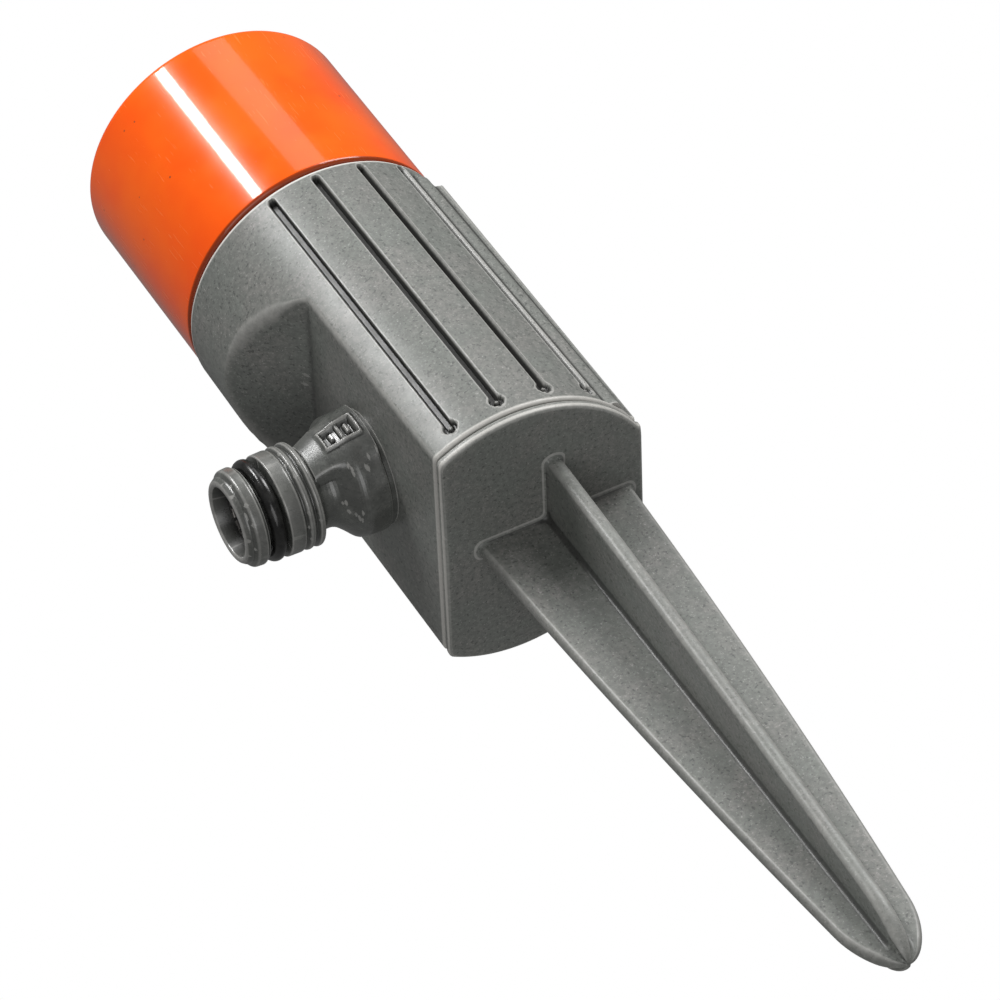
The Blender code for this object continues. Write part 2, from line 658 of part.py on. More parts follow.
def nipple_o_ring():
    middle = RING_GROOVE_RADIUS + FIT / 2 + RING_SECTION / 2
    centre = -(NOSE_LENGTH + RING_GROOVE_WIDTH / 2)
    steps = 8
    turns = [-math.tau * step / steps for step in range(steps)]
    half = RING_SECTION / 2
    profile = [(middle + half * math.cos(turn), centre + half * math.sin(turn)) for turn in turns]
    return turned("nipple_o_ring", profile, BLACK_RUBBER, SMALL, nipple_frame())


def nipple_gasket():
    low = -NIPPLE_LENGTH + FIT
    inner = SPIGOT_RADIUS + FIT
    return ring("nipple_gasket", inner + GASKET_WIDTH, inner, low + GASKET_THICKNESS - FIT, low,
                BLACK_RUBBER, SMALL, nipple_frame())


def inlet_strainer():
    """A thimble of filter mesh in the nipple's bore, open at the mouth."""
    outer = NIPPLE_BORE - FIT
    inner = outer - STRAINER_WALL
    rim = -STRAINER_MOUTH
    deep = -NIPPLE_LENGTH + STRAINER_MARGIN
    floor = deep + STRAINER_WALL
    cup = turned("inlet_strainer",
                 [(0.0, floor), (inner - STRAINER_DRAFT, floor), (inner, rim), (outer, rim),
                  (outer, rim - PAST), (outer - STRAINER_DRAFT, deep), (0.0, deep)],
                 MESH_STEEL, TINY, nipple_frame(), closed=False)
    half = 1.1 * MM
    for quarter in range(2):
        turn = Matrix.Rotation(math.pi / 2 * quarter + math.pi / 4, 4, "Z")
        slot = box("slot", (-half, -NIPPLE_BORE - PAST, deep + STRAINER_MARGIN),
                   (half, NIPPLE_BORE + PAST, rim - STRAINER_MARGIN), matrix=nipple_frame() @ turn)
        subtract(cup, slot)
    return tidy(cup)


# ---------------------------------------------------------------- turbine
def stator_ring():
    """A plate with slanting jets that throw the water at the turbine's blades."""
    stator = ring("stator_ring", TURBINE_BORE - FIT, FOOT_BUSH_RADIUS + FIT, STATOR_TOP_Z, STATOR_Z,
                  WHITE_PLASTIC)
    lean = Matrix.Rotation(STATOR_ANGLE, 4, "X")
    middle_radius = (TURBINE_HUB + TURBINE_RADIUS) / 2
    centre = Matrix.Translation((middle_radius, 0.0, (STATOR_Z + STATOR_TOP_Z) / 2))
    long_half = JET_SLOT_LENGTH / 2
    wide_half = JET_SLOT_WIDTH / 2
    reach = 2 * STATOR_THICKNESS
    for index in range(STATOR_JETS):
        around = Matrix.Rotation(math.tau * index / STATOR_JETS, 4, "Z")
        jet = box("jet", (-long_half, -wide_half, -reach), (long_half, wide_half, reach),
                  matrix=around @ centre @ lean)
        subtract(stator, jet)
    return tidy(stator)


def foot_bush():
    """The cup that the turbine shaft stands in."""
    top = STATOR_TOP_Z
    floor = STATOR_Z + FOOT_BUSH_FLOOR
    bore = SHAFT_RADIUS + FIT
    return turned("foot_bush",
                  [(0.0, floor), (bore, floor), (bore, top), (FOOT_BUSH_RADIUS, top),
                   (FOOT_BUSH_RADIUS, STATOR_Z), (0.0, STATOR_Z)],
                  STEEL, TINY, closed=False)


def turbine_wheel():
    """Hub, slanting blades and an outer band, in one moulding."""
    wheel = ring("turbine_wheel", TURBINE_HUB, SHAFT_RADIUS + FIT, TURBINE_Z + TURBINE_HEIGHT,
                 TURBINE_Z, WHITE_PLASTIC)
    lean = Matrix.Rotation(-BLADE_ANGLE, 4, "X")
    centre = Matrix.Translation((0.0, 0.0, TURBINE_Z + TURBINE_HEIGHT / 2))
    half = BLADE_THICKNESS / 2
    reach = 0.45 * TURBINE_HEIGHT / math.cos(BLADE_ANGLE)
    root = TURBINE_HUB - BAND_WALL / 2
    tip = TURBINE_RADIUS - BAND_WALL / 2
    for index in range(TURBINE_BLADES):
        around = Matrix.Rotation(math.tau * (index + 0.5) / TURBINE_BLADES, 4, "Z")
        blade = box("blade", (root, -half, -reach), (tip, half, reach), matrix=around @ centre @ lean)
        unite(wheel, blade)
    band = ring("band", TURBINE_RADIUS, TURBINE_RADIUS - BAND_WALL,
                TURBINE_Z + TURBINE_HEIGHT - BAND_INSET, TURBINE_Z + BAND_INSET, None)
    unite(wheel, band)
    return tidy(wheel)


def turbine_shaft():
    return disc("turbine_shaft", SHAFT_RADIUS, STATOR_Z + FOOT_BUSH_FLOOR + FIT,
                LAYER_Z[3] - LAYER_GAP, STEEL, TINY)


# ---------------------------------------------------------------- gears
def involute(angle):
    return math.tan(angle) - angle


def gear_outline(teeth, addendum, phase, steps):
    """Involute teeth, thinned for backlash; one tooth points along the phase."""
    pitch = GEAR_MODULE * teeth / 2
    base = pitch * math.cos(PRESSURE_ANGLE)
    root = pitch - DEDENDUM * GEAR_MODULE
    tip = pitch + addendum * GEAR_MODULE
    half_tooth = math.pi / (2 * teeth) - TOOTH_THINNING / (2 * pitch)
    at_base = half_tooth + involute(PRESSURE_ANGLE)
    low = max(base, root)
    flank = [(root, at_base)]
    for step in range(steps + 1):
        radius = low + (tip - low) * step / steps
        pressure = math.acos(min(1.0, base / radius))
        flank.append((radius, at_base - involute(pressure)))
    if root >= base:
        flank = flank[1:]
    outline = []
    for tooth in range(teeth):
        middle = phase + math.tau * tooth / teeth
        outline += [(radius, middle - half) for radius, half in flank]
        outline += [(radius, middle + half) for radius, half in reversed(flank)]
    return [(radius * math.cos(turn), radius * math.sin(turn)) for radius, turn in outline]


def pinion(name, low, high, phase, material=None):
    return prism(name, gear_outline(PINION_TEETH, PINION_ADDENDUM, phase, 2), low, high, material)


def wheel_gear(name, low, high, phase, material=None):
    return prism(name, gear_outline(WHEEL_TEETH, WHEEL_ADDENDUM, phase, 1), low, high, material)


LAY_AXIS = Matrix.Translation((CENTRE_DISTANCE, 0.0, 0.0))
HALF_TURN = Matrix.Rotation(math.pi, 4, "Z")
TOOTH_BACK = math.pi                            # a tooth points along -X
GAP_BACK = math.pi + math.pi / WHEEL_TEETH      # a gap of a wheel does


def bored(gear):
    """Cut the hole for the shaft or the pin, while the gear stands at the origin."""
    return tidy(subtract(gear, disc("bore", SHAFT_RADIUS + FIT, CASE_FLOOR_Z, COVER_TOP_Z, segments=TINY)))


def turbine_pinion():
    low = LAYER_Z[0]
    gear = bored(pinion("turbine_pinion", low, low + FACE_WIDTH, TOOTH_BACK, WHITE_PLASTIC))
    gear.data.transform(HALF_TURN)
    return gear


def compound_gear(name, layer, matrix):
    """A wheel with a pinion above it.  It is made at the origin, facing -X, and moved to its axis."""
    low = LAYER_Z[layer]
    middle = low + FACE_WIDTH
    high = LAYER_Z[layer + 1] + FACE_WIDTH
    gear = wheel_gear(name, low, middle, GAP_BACK, WHITE_PLASTIC)
    unite(gear, pinion("upper", middle - FIT, high, TOOTH_BACK))
    bored(gear)
    gear.data.transform(matrix)
    return gear


def gear_1():
    return compound_gear("gear_1", 0, LAY_AXIS)


def gear_2():
    """This one idles on the turbine shaft."""
    return compound_gear("gear_2", 1, HALF_TURN)


def gear_3():
    return compound_gear("gear_3", 2, LAY_AXIS)


def output_gear():
    """The last wheel, with a hub through the cover and a hexagon that drives the riser."""
    low = LAYER_Z[3]
    gear = wheel_gear("output_gear", low, low + FACE_WIDTH, GAP_BACK, WHITE_PLASTIC)
    unite(gear, disc("hub", HUB_RADIUS, low + FACE_WIDTH - FIT, RISER_BOTTOM_Z - RUN / 2,
                     segments=TINY))
    unite(gear, disc("hexagon", DRIVE_HEX_RADIUS, low + FACE_WIDTH, RISER_BOTTOM_Z + DRIVE_HEX_LENGTH,
                     segments=6))
    gear.data.transform(HALF_TURN)
    return tidy(gear)


def lay_pin():
    return disc("lay_pin", SHAFT_RADIUS, CASE_FLOOR_Z + FIT, COVER_TOP_Z - FIT / 2, STEEL, TINY,
                LAY_AXIS)


def gearcase():
    """The cup around the gears, held clear of the body's floor on three feet."""
    top = COVER_Z - FIT
    inner = CASE_RADIUS - CASE_WALL
    case = turned("gearcase",
                  [(0.0, CASE_FLOOR_TOP_Z), (inner, CASE_FLOOR_TOP_Z), (inner, top), (CASE_RADIUS, top),
                   (CASE_RADIUS, CASE_FLOOR_Z), (SEAL_BOSS_RADIUS, CASE_FLOOR_Z),
                   (SEAL_BOSS_RADIUS, SEAL_BOSS_Z), (0.0, SEAL_BOSS_Z)],
                  BLACK_PLASTIC, ROUND, closed=False)
    half = FOOT_WIDTH / 2
    for index in range(CASE_FEET):
        around = Matrix.Rotation(math.tau * index / CASE_FEET, 4, "Z")
        foot = box("foot", (CASE_RADIUS - FOOT_WIDTH, -half, GEAR_FLOOR_Z + FIT),
                   (GEAR_BORE - FIT, half, CASE_FLOOR_TOP_Z), matrix=around)
        unite(case, foot)
    seal_seat = disc("seal_seat", SEAL_BOSS_RADIUS - SEAL_BOSS_WALL, SEAL_BOSS_Z - PAST,
                     CASE_FLOOR_Z - FIT, segments=TINY)
    subtract(case, seal_seat)
    for x in (0.0, CENTRE_DISTANCE):
        hole = disc("hole", SHAFT_RADIUS + FIT, CASE_FLOOR_Z - PAST, CASE_FLOOR_TOP_Z + PAST,
                    segments=TINY, matrix=Matrix.Translation((x, 0.0, 0.0)))
        subtract(case, hole)
    return tidy(case)


def gearcase_cover():
    cover = ring("gearcase_cover", CASE_RADIUS, HUB_RADIUS + RUN, COVER_TOP_Z, COVER_Z, BLACK_PLASTIC,
                 ROUND)
    hole = disc("hole", SHAFT_RADIUS + FIT, COVER_Z - PAST, COVER_TOP_Z + PAST, segments=TINY,
                matrix=LAY_AXIS)
    return tidy(subtract(cover, hole))


def shaft_seal():
    return ring("shaft_seal", SEAL_BOSS_RADIUS - SEAL_BOSS_WALL - FIT, SHAFT_RADIUS + FIT,
                CASE_FLOOR_Z - 2 * FIT, SEAL_BOSS_Z, BLACK_RUBBER, TINY)


# ---------------------------------------------------------------- riser and its bearings
def bearing_plate():
    """A plate across the collar with a tower that carries the riser."""
    return turned("bearing_plate",
                  [(TOWER_RADIUS, TOWER_TOP_Z), (TOWER_RADIUS, PLATE_TOP_Z),
                   (PLATE_BORE - FIT, PLATE_TOP_Z), (PLATE_BORE - FIT, PLATE_Z),
                   (FLANGE_BORE, PLATE_Z), (FLANGE_BORE, WEB_Z),
                   (BUSH_BORE, WEB_Z), (BUSH_BORE, TOWER_TOP_Z)],
                  GREY_PLASTIC, ROUND)


def plate_seal():
    return ring("plate_seal", PLATE_BORE - FIT, GEAR_BORE + FIT, PLATE_SEAL_Z + PLATE_SEAL_THICKNESS,
                PLATE_SEAL_Z, BLACK_RUBBER, ROUND)


def open_ring(name, outer, inner, low, opening):
    """A flat spring ring with a gap in it."""
    high = low + CLIP_THICKNESS
    whole = ring(name, outer, inner, high, low, STEEL, ROUND)
    gap = box("gap", (0.0, -opening / 2, low - PAST), (outer + PAST, opening / 2, high + PAST))
    return tidy(subtract(whole, gap))


def plate_clip():
    return open_ring("plate_clip", PLATE_BORE + CLIP_GROOVE - FIT, PLATE_BORE - CLIP_WIDTH, CLIP_Z,
                     5 * MM)


def riser_clip():
    inner = RISER_RADIUS - CLIP_GROOVE / 2
    return open_ring("riser_clip", inner + CLIP_WIDTH, inner, RISER_CLIP_Z, 6 * MM)


def thrust_washer():
    return ring("thrust_washer", FLANGE_BORE - FIT, RISER_RADIUS + FIT, WASHER_Z + WASHER_THICKNESS,
                WASHER_Z, WHITE_PLASTIC)


def riser_lip_seal():
    return ring("riser_lip_seal", BUSH_BORE - FIT, RISER_RADIUS + FIT, LIP_SEAL_Z + LIP_SEAL_HEIGHT,
                LIP_SEAL_Z, BLACK_RUBBER)


def lower_bush():
    return ring("lower_bush", BUSH_BORE - FIT, RISER_RADIUS + FIT, LOWER_BUSH_Z + LOWER_BUSH_HEIGHT,
                LOWER_BUSH_Z, WHITE_PLASTIC)


def upper_bush():
    flange_top = BUSH_FLANGE_Z + BUSH_FLANGE
    outer = BUSH_BORE - FIT
    inner = RISER_RADIUS + FIT
    return turned("upper_bush",
                  [(BUSH_BORE + BUSH_COLLAR, flange_top), (BUSH_BORE + BUSH_COLLAR, BUSH_FLANGE_Z),
                   (outer, BUSH_FLANGE_Z), (outer, UPPER_BUSH_Z),
                   (inner, UPPER_BUSH_Z), (inner, flange_top)],
                  WHITE_PLASTIC)


def key_pin_frame():
    """The key pin crosses the riser's wall at a tangent, in the nozzle block's socket."""
    return along((1, 0, 0), (0.0, -RISER_RADIUS, NOZZLE_BODY_Z + NOZZLE_SOCKET / 2))


def riser_tube():
    """The hollow shaft that turns the head and carries its water."""
    groove = RISER_RADIUS - CLIP_GROOVE
    clip_low = RISER_CLIP_Z - FIT / 2
    clip_top = RISER_CLIP_Z + CLIP_THICKNESS + FIT / 2
    flange_top = RISER_FLANGE_Z + RISER_FLANGE_THICKNESS
    riser = turned("riser_tube",
                   [(0.0, RISER_PLUG_Z), (RISER_BORE, RISER_PLUG_Z), (RISER_BORE, RISER_TOP_Z),
                    (RISER_RADIUS, RISER_TOP_Z), (RISER_RADIUS, clip_top), (groove, clip_top),
                    (groove, clip_low), (RISER_RADIUS, clip_low), (RISER_RADIUS, flange_top),
                    (RISER_FLANGE_RADIUS, flange_top), (RISER_FLANGE_RADIUS, RISER_FLANGE_Z),
                    (RISER_RADIUS, RISER_FLANGE_Z), (RISER_RADIUS, RISER_BOTTOM_Z),
                    (0.0, RISER_BOTTOM_Z)],
                   WHITE_PLASTIC, closed=False)
    socket = disc("socket", DRIVE_HEX_RADIUS + FIT, RISER_BOTTOM_Z - PAST,
                  RISER_BOTTOM_Z + DRIVE_HEX_LENGTH + FIT, segments=6)
    subtract(riser, socket)
    half = RISER_WINDOW / 2
    reach = RISER_RADIUS + PAST
    for quarter in range(2):
        turn = Matrix.Rotation(math.pi / 2 * quarter, 4, "Z")
        window = box("window", (-half, -reach, RISER_PLUG_Z + FIT), (half, reach, RISER_FLANGE_Z - RUN),
                     matrix=turn)
        subtract(riser, window)
    notch = disc("notch", KEY_PIN_RADIUS + FIT, -NOZZLE_BODY_RADIUS, NOZZLE_BODY_RADIUS, segments=TINY,
                 matrix=key_pin_frame())
    subtract(riser, notch)
    return tidy(riser)


# ---------------------------------------------------------------- head
SCREW_PLACE = Matrix.Translation((0.0, FLOW_SCREW_Y, 0.0))


def head_shell():
    """The rotating head: a plain cup, open below, with a recess for its screw."""
    inner = HEAD_RADIUS - HEAD_WALL
    edge = HEAD_RADIUS - HEAD_EDGE
    hole = HEAD_SCREW_RADIUS + FIT
    boss = RECESS_RADIUS + RECESS_WALL
    chamfer = HEAD_EDGE / 4
    shell = turned("head_shell",
                   [(hole, RECESS_Z), (RECESS_RADIUS, RECESS_Z), (RECESS_RADIUS, HEAD_TOP_Z),
                    (edge, HEAD_TOP_Z), (HEAD_RADIUS - chamfer, HEAD_TOP_Z - chamfer),
                    (HEAD_RADIUS, HEAD_TOP_Z - HEAD_EDGE), (HEAD_RADIUS, HEAD_Z), (inner, HEAD_Z),
                    (inner, HEAD_CEILING_Z), (boss, HEAD_CEILING_Z), (boss, HEAD_BOSS_Z),
                    (hole, HEAD_BOSS_Z)],
                   ORANGE_PLASTIC, ROUND)
    window = disc("window", JET_WINDOW, NOZZLE_SEAT, HEAD_RADIUS + NOZZLE_SEAT,
                  matrix=along(JET_DIRECTION, JET_START))
    subtract(shell, window)
    screw_hole = disc("screw_hole", SCREW_HEAD_RADIUS + FIT, HEAD_CEILING_Z - PAST,
                      HEAD_TOP_Z + PAST, segments=TINY, matrix=SCREW_PLACE)
    subtract(shell, screw_hole)
    return tidy(shell)


def nozzle_body():
    """The block on top of the riser that turns the water into the jet."""
    jet_frame = along(JET_DIRECTION, JET_START)
    inner_top = JET_Z + NOZZLE_BODY_TOP / 2
    socket = RISER_RADIUS + FIT
    duct_end = NOZZLE_TUBE_LENGTH + PAST
    pin_reach = NOZZLE_BODY_RADIUS + PAST
    block = disc("nozzle_body", NOZZLE_BODY_RADIUS, NOZZLE_BODY_Z, NOZZLE_TOP_Z, BLACK_PLASTIC)
    unite(block, disc("post", POST_RADIUS, NOZZLE_TOP_Z - PAST, POST_TOP_Z))
    unite(block, disc("tube", NOZZLE_TUBE, 0.0, NOZZLE_TUBE_LENGTH, matrix=jet_frame))
    unite(block, disc("screw_boss", SCREW_RADIUS + SCREW_BOSS_WALL, inner_top, POST_TOP_Z,
                      segments=TINY, matrix=SCREW_PLACE))
    chamber = turned("chamber",
                     [(0.0, inner_top), (RISER_BORE, inner_top), (RISER_BORE, RISER_TOP_Z + FIT),
                      (socket, RISER_TOP_Z + FIT), (socket, NOZZLE_BODY_Z - PAST),
                      (0.0, NOZZLE_BODY_Z - PAST)],
                     None, closed=False)
    subtract(block, chamber)
    duct = turned("duct",
                  [(0.0, duct_end), (INSERT_BORE, duct_end), (INSERT_BORE, NOZZLE_SEAT),
                   (NOZZLE_BORE, NOZZLE_SEAT), (NOZZLE_BORE, 0.0), (0.0, 0.0)],
                  None, matrix=jet_frame, closed=False)
    subtract(block, duct)
    subtract(block, disc("screw_hole", SCREW_RADIUS + FIT, JET_AT_SCREW_Z, POST_TOP_Z + PAST,
                         segments=TINY, matrix=SCREW_PLACE))
    subtract(block, disc("post_hole", HEAD_SCREW_RADIUS + FIT, NOZZLE_TOP_Z - PAST, POST_TOP_Z + PAST,
                         segments=TINY))
    subtract(block, disc("pin_hole", KEY_PIN_RADIUS + FIT, -pin_reach, pin_reach, segments=TINY,
                         matrix=key_pin_frame()))
    return tidy(block)


def riser_key_pin():
    reach = math.sqrt(NOZZLE_BODY_RADIUS ** 2 - RISER_RADIUS ** 2) - FIT
    return disc("riser_key_pin", KEY_PIN_RADIUS, -reach, reach, STEEL, TINY, key_pin_frame())


def nozzle_seal():
    low = NOZZLE_SEAT + FIT
    return ring("nozzle_seal", INSERT_BORE - FIT, NOZZLE_BORE - INSERT_WALL, low + SEAL_THICKNESS, low,
                BLACK_RUBBER, TINY, along(JET_DIRECTION, JET_START))


def nozzle_insert():
    """The jet's mouthpiece: its bore narrows to a short parallel tip."""
    low = NOZZLE_SEAT + SEAL_THICKNESS + 2 * FIT
    high = NOZZLE_TUBE_LENGTH
    outer = INSERT_BORE - FIT
    chamfer = 0.5 * MM
    tip_length = 2 * MM
    return turned("nozzle_insert",
                  [(outer - chamfer, high), (outer, high - chamfer), (outer, low),
                   (NOZZLE_BORE - INSERT_WALL, low), (NOZZLE_TIP_BORE, high - tip_length),
                   (NOZZLE_TIP_BORE, high)],
                  BLACK_PLASTIC, SMALL, along(JET_DIRECTION, JET_START))


def slotted_screw(name, shank, head, low, neck, head_height, matrix=None):
    top = neck + head_height
    half = SCREW_SLOT / 2
    screw = turned(name,
                   [(0.0, top), (head, top), (head, neck), (shank, neck), (shank, low), (0.0, low)],
                   STEEL, TINY, closed=False)
    slot = box("slot", (-head - PAST, -half, top - SCREW_SLOT), (head + PAST, half, top + PAST))
    subtract(screw, slot)
    if matrix is not None:
        screw.data.transform(matrix)
    return tidy(screw)


def flow_screw():
    """Its tip stands at the edge of the jet; turning it in breaks the jet up and shortens the throw."""
    tip = JET_AT_SCREW_Z + NOZZLE_BORE / math.cos(JET_ELEVATION) - FIT
    neck = HEAD_TOP_Z - FIT - SCREW_HEAD_HEIGHT
    return slotted_screw("flow_screw", SCREW_RADIUS, SCREW_HEAD_RADIUS, tip, neck, SCREW_HEAD_HEIGHT,
                         SCREW_PLACE)


def head_screw():
    return slotted_screw("head_screw", HEAD_SCREW_RADIUS, HEAD_SCREW_HEAD, NOZZLE_TOP_Z, RECESS_Z + FIT,
                         HEAD_SCREW_HEIGHT)


def top_plug():
    return disc("top_plug", PLUG_RADIUS, HEAD_TOP_Z - PLUG_THICKNESS, HEAD_TOP_Z, ORANGE_PLASTIC)


# ---------------------------------------------------------------- assembly
FIXED_PIECES = (
    body_shell, ground_spike, hose_nipple, nipple_o_ring, nipple_gasket, inlet_strainer,
    stator_ring, foot_bush, gearcase, gearcase_cover, shaft_seal, lay_pin, bearing_plate, plate_seal,
    plate_clip, thrust_washer, riser_lip_seal, lower_bush, upper_bush,
)
CENTRAL_PIECES = {
    "turbine_axis": (turbine_wheel, turbine_shaft, turbine_pinion),
    "gear_2_axis": (gear_2,),
    "head_axis": (output_gear, riser_tube, riser_clip, head_shell, nozzle_body, riser_key_pin,
                  nozzle_seal, nozzle_insert, head_screw, top_plug, flow_screw),
}
LAY_PIECES = {
    "gear_1_axis": (gear_1,),
    "gear_3_axis": (gear_3,),
}


def build():
    for make in FIXED_PIECES:
        make()
    for group, x in ((CENTRAL_PIECES, 0.0), (LAY_PIECES, CENTRE_DISTANCE)):
        for axis_name, makers in group.items():
            axis = on_axis(axis_name, (x, 0.0, 0.0))
            for make in makers:
                piece = make()
                piece.parent = axis
                piece.matrix_parent_inverse = Matrix.Translation((-x, 0.0, 0.0))


build()
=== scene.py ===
# %% [markdown]
# # A turbine sprinkler on a ground spike
# The design already fixes where every part is and how it moves. This lesson gives the parts their looks:
# a satin grey body with a grooved arch, a glossy orange head, a black O-ring and a slim cross-shaped spike.
# Every new piece is a formula worked out with numpy on a grid of points, so its edges can be rounded and
# its grooves cut without any modelling by hand. Each piece rides on the body of the part it stands for.

# %% Load the frame
import json
import math

import bmesh
import bpy
import numpy as np
from mathutils import Matrix, Vector


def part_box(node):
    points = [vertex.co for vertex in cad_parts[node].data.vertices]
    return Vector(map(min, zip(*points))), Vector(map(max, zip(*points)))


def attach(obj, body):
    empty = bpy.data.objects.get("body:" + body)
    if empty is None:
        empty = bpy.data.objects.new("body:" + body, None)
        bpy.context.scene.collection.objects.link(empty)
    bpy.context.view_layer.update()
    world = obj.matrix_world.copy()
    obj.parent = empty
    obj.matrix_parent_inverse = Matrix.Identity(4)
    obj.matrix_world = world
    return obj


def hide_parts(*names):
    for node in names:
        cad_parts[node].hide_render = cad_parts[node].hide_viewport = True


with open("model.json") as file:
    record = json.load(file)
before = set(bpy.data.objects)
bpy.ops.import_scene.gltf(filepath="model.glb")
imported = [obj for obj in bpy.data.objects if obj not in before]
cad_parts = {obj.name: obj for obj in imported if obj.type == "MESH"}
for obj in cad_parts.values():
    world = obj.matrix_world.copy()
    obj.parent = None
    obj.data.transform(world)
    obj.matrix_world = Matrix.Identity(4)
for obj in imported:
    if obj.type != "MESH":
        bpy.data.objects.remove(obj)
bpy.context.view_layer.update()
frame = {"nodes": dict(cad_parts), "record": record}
mm = 0.001

# %% [markdown]
# ## Sizes
# Places come from the boxes of the designed parts. Only what a box can't tell, such as how far apart the
# grooves are, is written here as a named value.

# %% Read the main sizes from the frame
shell_low, shell_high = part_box("body_shell")
plate_low, plate_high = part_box("ground_spike")
head_low, head_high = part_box("head_shell")
nipple_low, nipple_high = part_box("hose_nipple")

RIM = shell_high.z
FOOT = shell_low.z
COLLAR_RADIUS = -shell_low.x
FOOT_RADIUS = -plate_low.y
NIPPLE_FLAT = -plate_low.x
FAR_FLAT = plate_high.x
SPIKE_END = plate_low.z
HEAD_RADIUS = head_high.x
print(f"collar {2000 * COLLAR_RADIUS:.1f} mm across, rim at {1000 * RIM:.1f} mm")

# %% [markdown]
# ## From a grid of points to a mesh
# A grid has rows and columns. Neighbouring points make a quad, and a direction that closes on itself wraps
# round. Whether the faces point outwards is a matter of arithmetic: the signed volume of the quads is
# negative when the shape is inside out, and then the order of the corners is turned round. Points that
# coincide, as at the pole of a turned shape, are merged, which closes the seam.


# %% Make a mesh from a grid
def surface(name, points, wrap_rows=False, painted_shade=None):
    """Join a grid of points, rows by columns by 3, into quads whose columns always wrap round.
    A painted shade value for each point, from 0 to 1, is kept as an attribute that a material can read.
    The signed volume is the sum over quads of a corner dotted with the cross product of the diagonals."""
    rows, columns = points.shape[:2]
    index = np.arange(rows * columns).reshape(rows, columns)
    near = index if wrap_rows else index[:-1]
    far = np.roll(index, -1, axis=0) if wrap_rows else index[1:]
    quads = np.stack([near, np.roll(near, -1, axis=1), np.roll(far, -1, axis=1), far], axis=-1)
    quads = quads.reshape(-1, 4)
    flat = points.reshape(-1, 3)
    corner = flat[quads]
    across = np.cross(corner[:, 2] - corner[:, 0], corner[:, 3] - corner[:, 1])
    if np.sum(corner[:, 0] * across) < 0:
        quads = quads[:, ::-1]
    mesh = bpy.data.meshes.new(name)
    mesh.vertices.add(len(flat))
    mesh.vertices.foreach_set("co", flat.ravel())
    mesh.loops.add(quads.size)
    mesh.loops.foreach_set("vertex_index", quads.ravel())
    mesh.polygons.add(len(quads))
    mesh.polygons.foreach_set("loop_start", np.arange(0, quads.size, 4))
    mesh.update(calc_edges=True)
    if painted_shade is not None:
        layer = mesh.attributes.new("painted_shade", "FLOAT", "POINT")
        layer.data.foreach_set("value", np.broadcast_to(painted_shade, points.shape[:2]).astype(np.float32).ravel())
    piece = bpy.data.objects.new(name, mesh)
    bpy.context.scene.collection.objects.link(piece)
    return clean(piece)


def clean(piece, sharp=50):
    """Merge points that coincide, drop faces without area, and shade smooth up to an angle."""
    work = bmesh.new()
    work.from_mesh(piece.data)
    bmesh.ops.remove_doubles(work, verts=work.verts, dist=0.0004 * mm)
    bmesh.ops.dissolve_degenerate(work, edges=work.edges, dist=0.0004 * mm)
    work.to_mesh(piece.data)
    work.free()
    piece.data.shade_smooth()
    piece.data.set_sharp_from_angle(angle=math.radians(sharp))
    print(piece.name, "has", len(piece.data.polygons), "faces")
    return piece


# %% [markdown]
# ## Four small tools for formulas
# `ramp` is a smooth step, `soft_min` and `soft_max` pick the smaller or the larger of two lengths with
# the corner between them rounded. A sharp edge never looks moulded, so nearly every edge passes through
# one. `crowded` spaces numbers closer together where a shape is busy.


# %% Smooth steps and rounded corners
def ramp(value, low, high):
    """0 before low and 1 after high, joined by the cubic 3t^2 - 2t^3; low may be above high."""
    share = np.clip((value - low) / (high - low), 0.0, 1.0)
    return share * share * (3.0 - 2.0 * share)


def soft_min(first, second, blend):
    """The smaller of two lengths; where they differ by less than blend a parabola joins them."""
    share = np.clip(0.5 + 0.5 * (second - first) / blend, 0.0, 1.0)
    return second + (first - second) * share - blend * share * (1.0 - share)


def soft_max(first, second, blend):
    """The larger of two lengths, rounded in the same way."""
    return -soft_min(-first, -second, blend)


def crowded(low, high, count, places, spread, gain):
    """Numbers from low to high that stand closer together near the given places.
    The density is 1 plus a bell curve at each place, and its running sum is inverted."""
    fine = np.linspace(low, high, 8000)
    density = 1.0 + gain * np.exp(-((fine[:, None] - np.asarray(places)) / spread) ** 2).max(axis=1)
    total = np.cumsum(density)
    return np.interp(np.linspace(total[0], total[-1], count), total, fine)


print("half way up a step from 0 to 1, ramp gives", ramp(0.5, 0.0, 1.0))


# %% [markdown]
# ## The body's wall
# Seen from above, the body is round, with a flat on the nipple's side and a flat pad opposite. In every
# direction from the head's axis there is just one wall, so the whole shape is one function: the distance
# from the axis for a direction and a height. The parts of the outline are combined with rounded minima and
# maxima. The round collar on top is the same function with the pad faded out.

# %% Name the body's own sizes
PAD_HALF = 12.2 * mm
PAD_TOP = RIM - 1.6 * mm
SHOULDER = 43.2 * mm
SHOULDER_SLOPE = 0.87
CORNER_ROUND = 0.8 * mm
VALLEY_ROUND = 0.5 * mm
NEARLY_FLAT = 0.02              # the least cosine that a ray and a wall's normal may have
print(f"the far pad is {2000 * PAD_HALF:.1f} mm wide and ends {1000 * (RIM - PAD_TOP):.1f} mm below the rim")


# %% The outline as a function
def plane_distance(offset, facing):
    """Distance along a ray to a flat wall: its offset over the cosine between ray and normal."""
    return offset / np.maximum(facing, NEARLY_FLAT)


def nipple_side(height):
    """The flat beside the nipple, which slopes out to the collar above the shoulder."""
    above = soft_max(height - SHOULDER, 0.0, 1.2 * mm)
    return NIPPLE_FLAT + above / SHOULDER_SLOPE


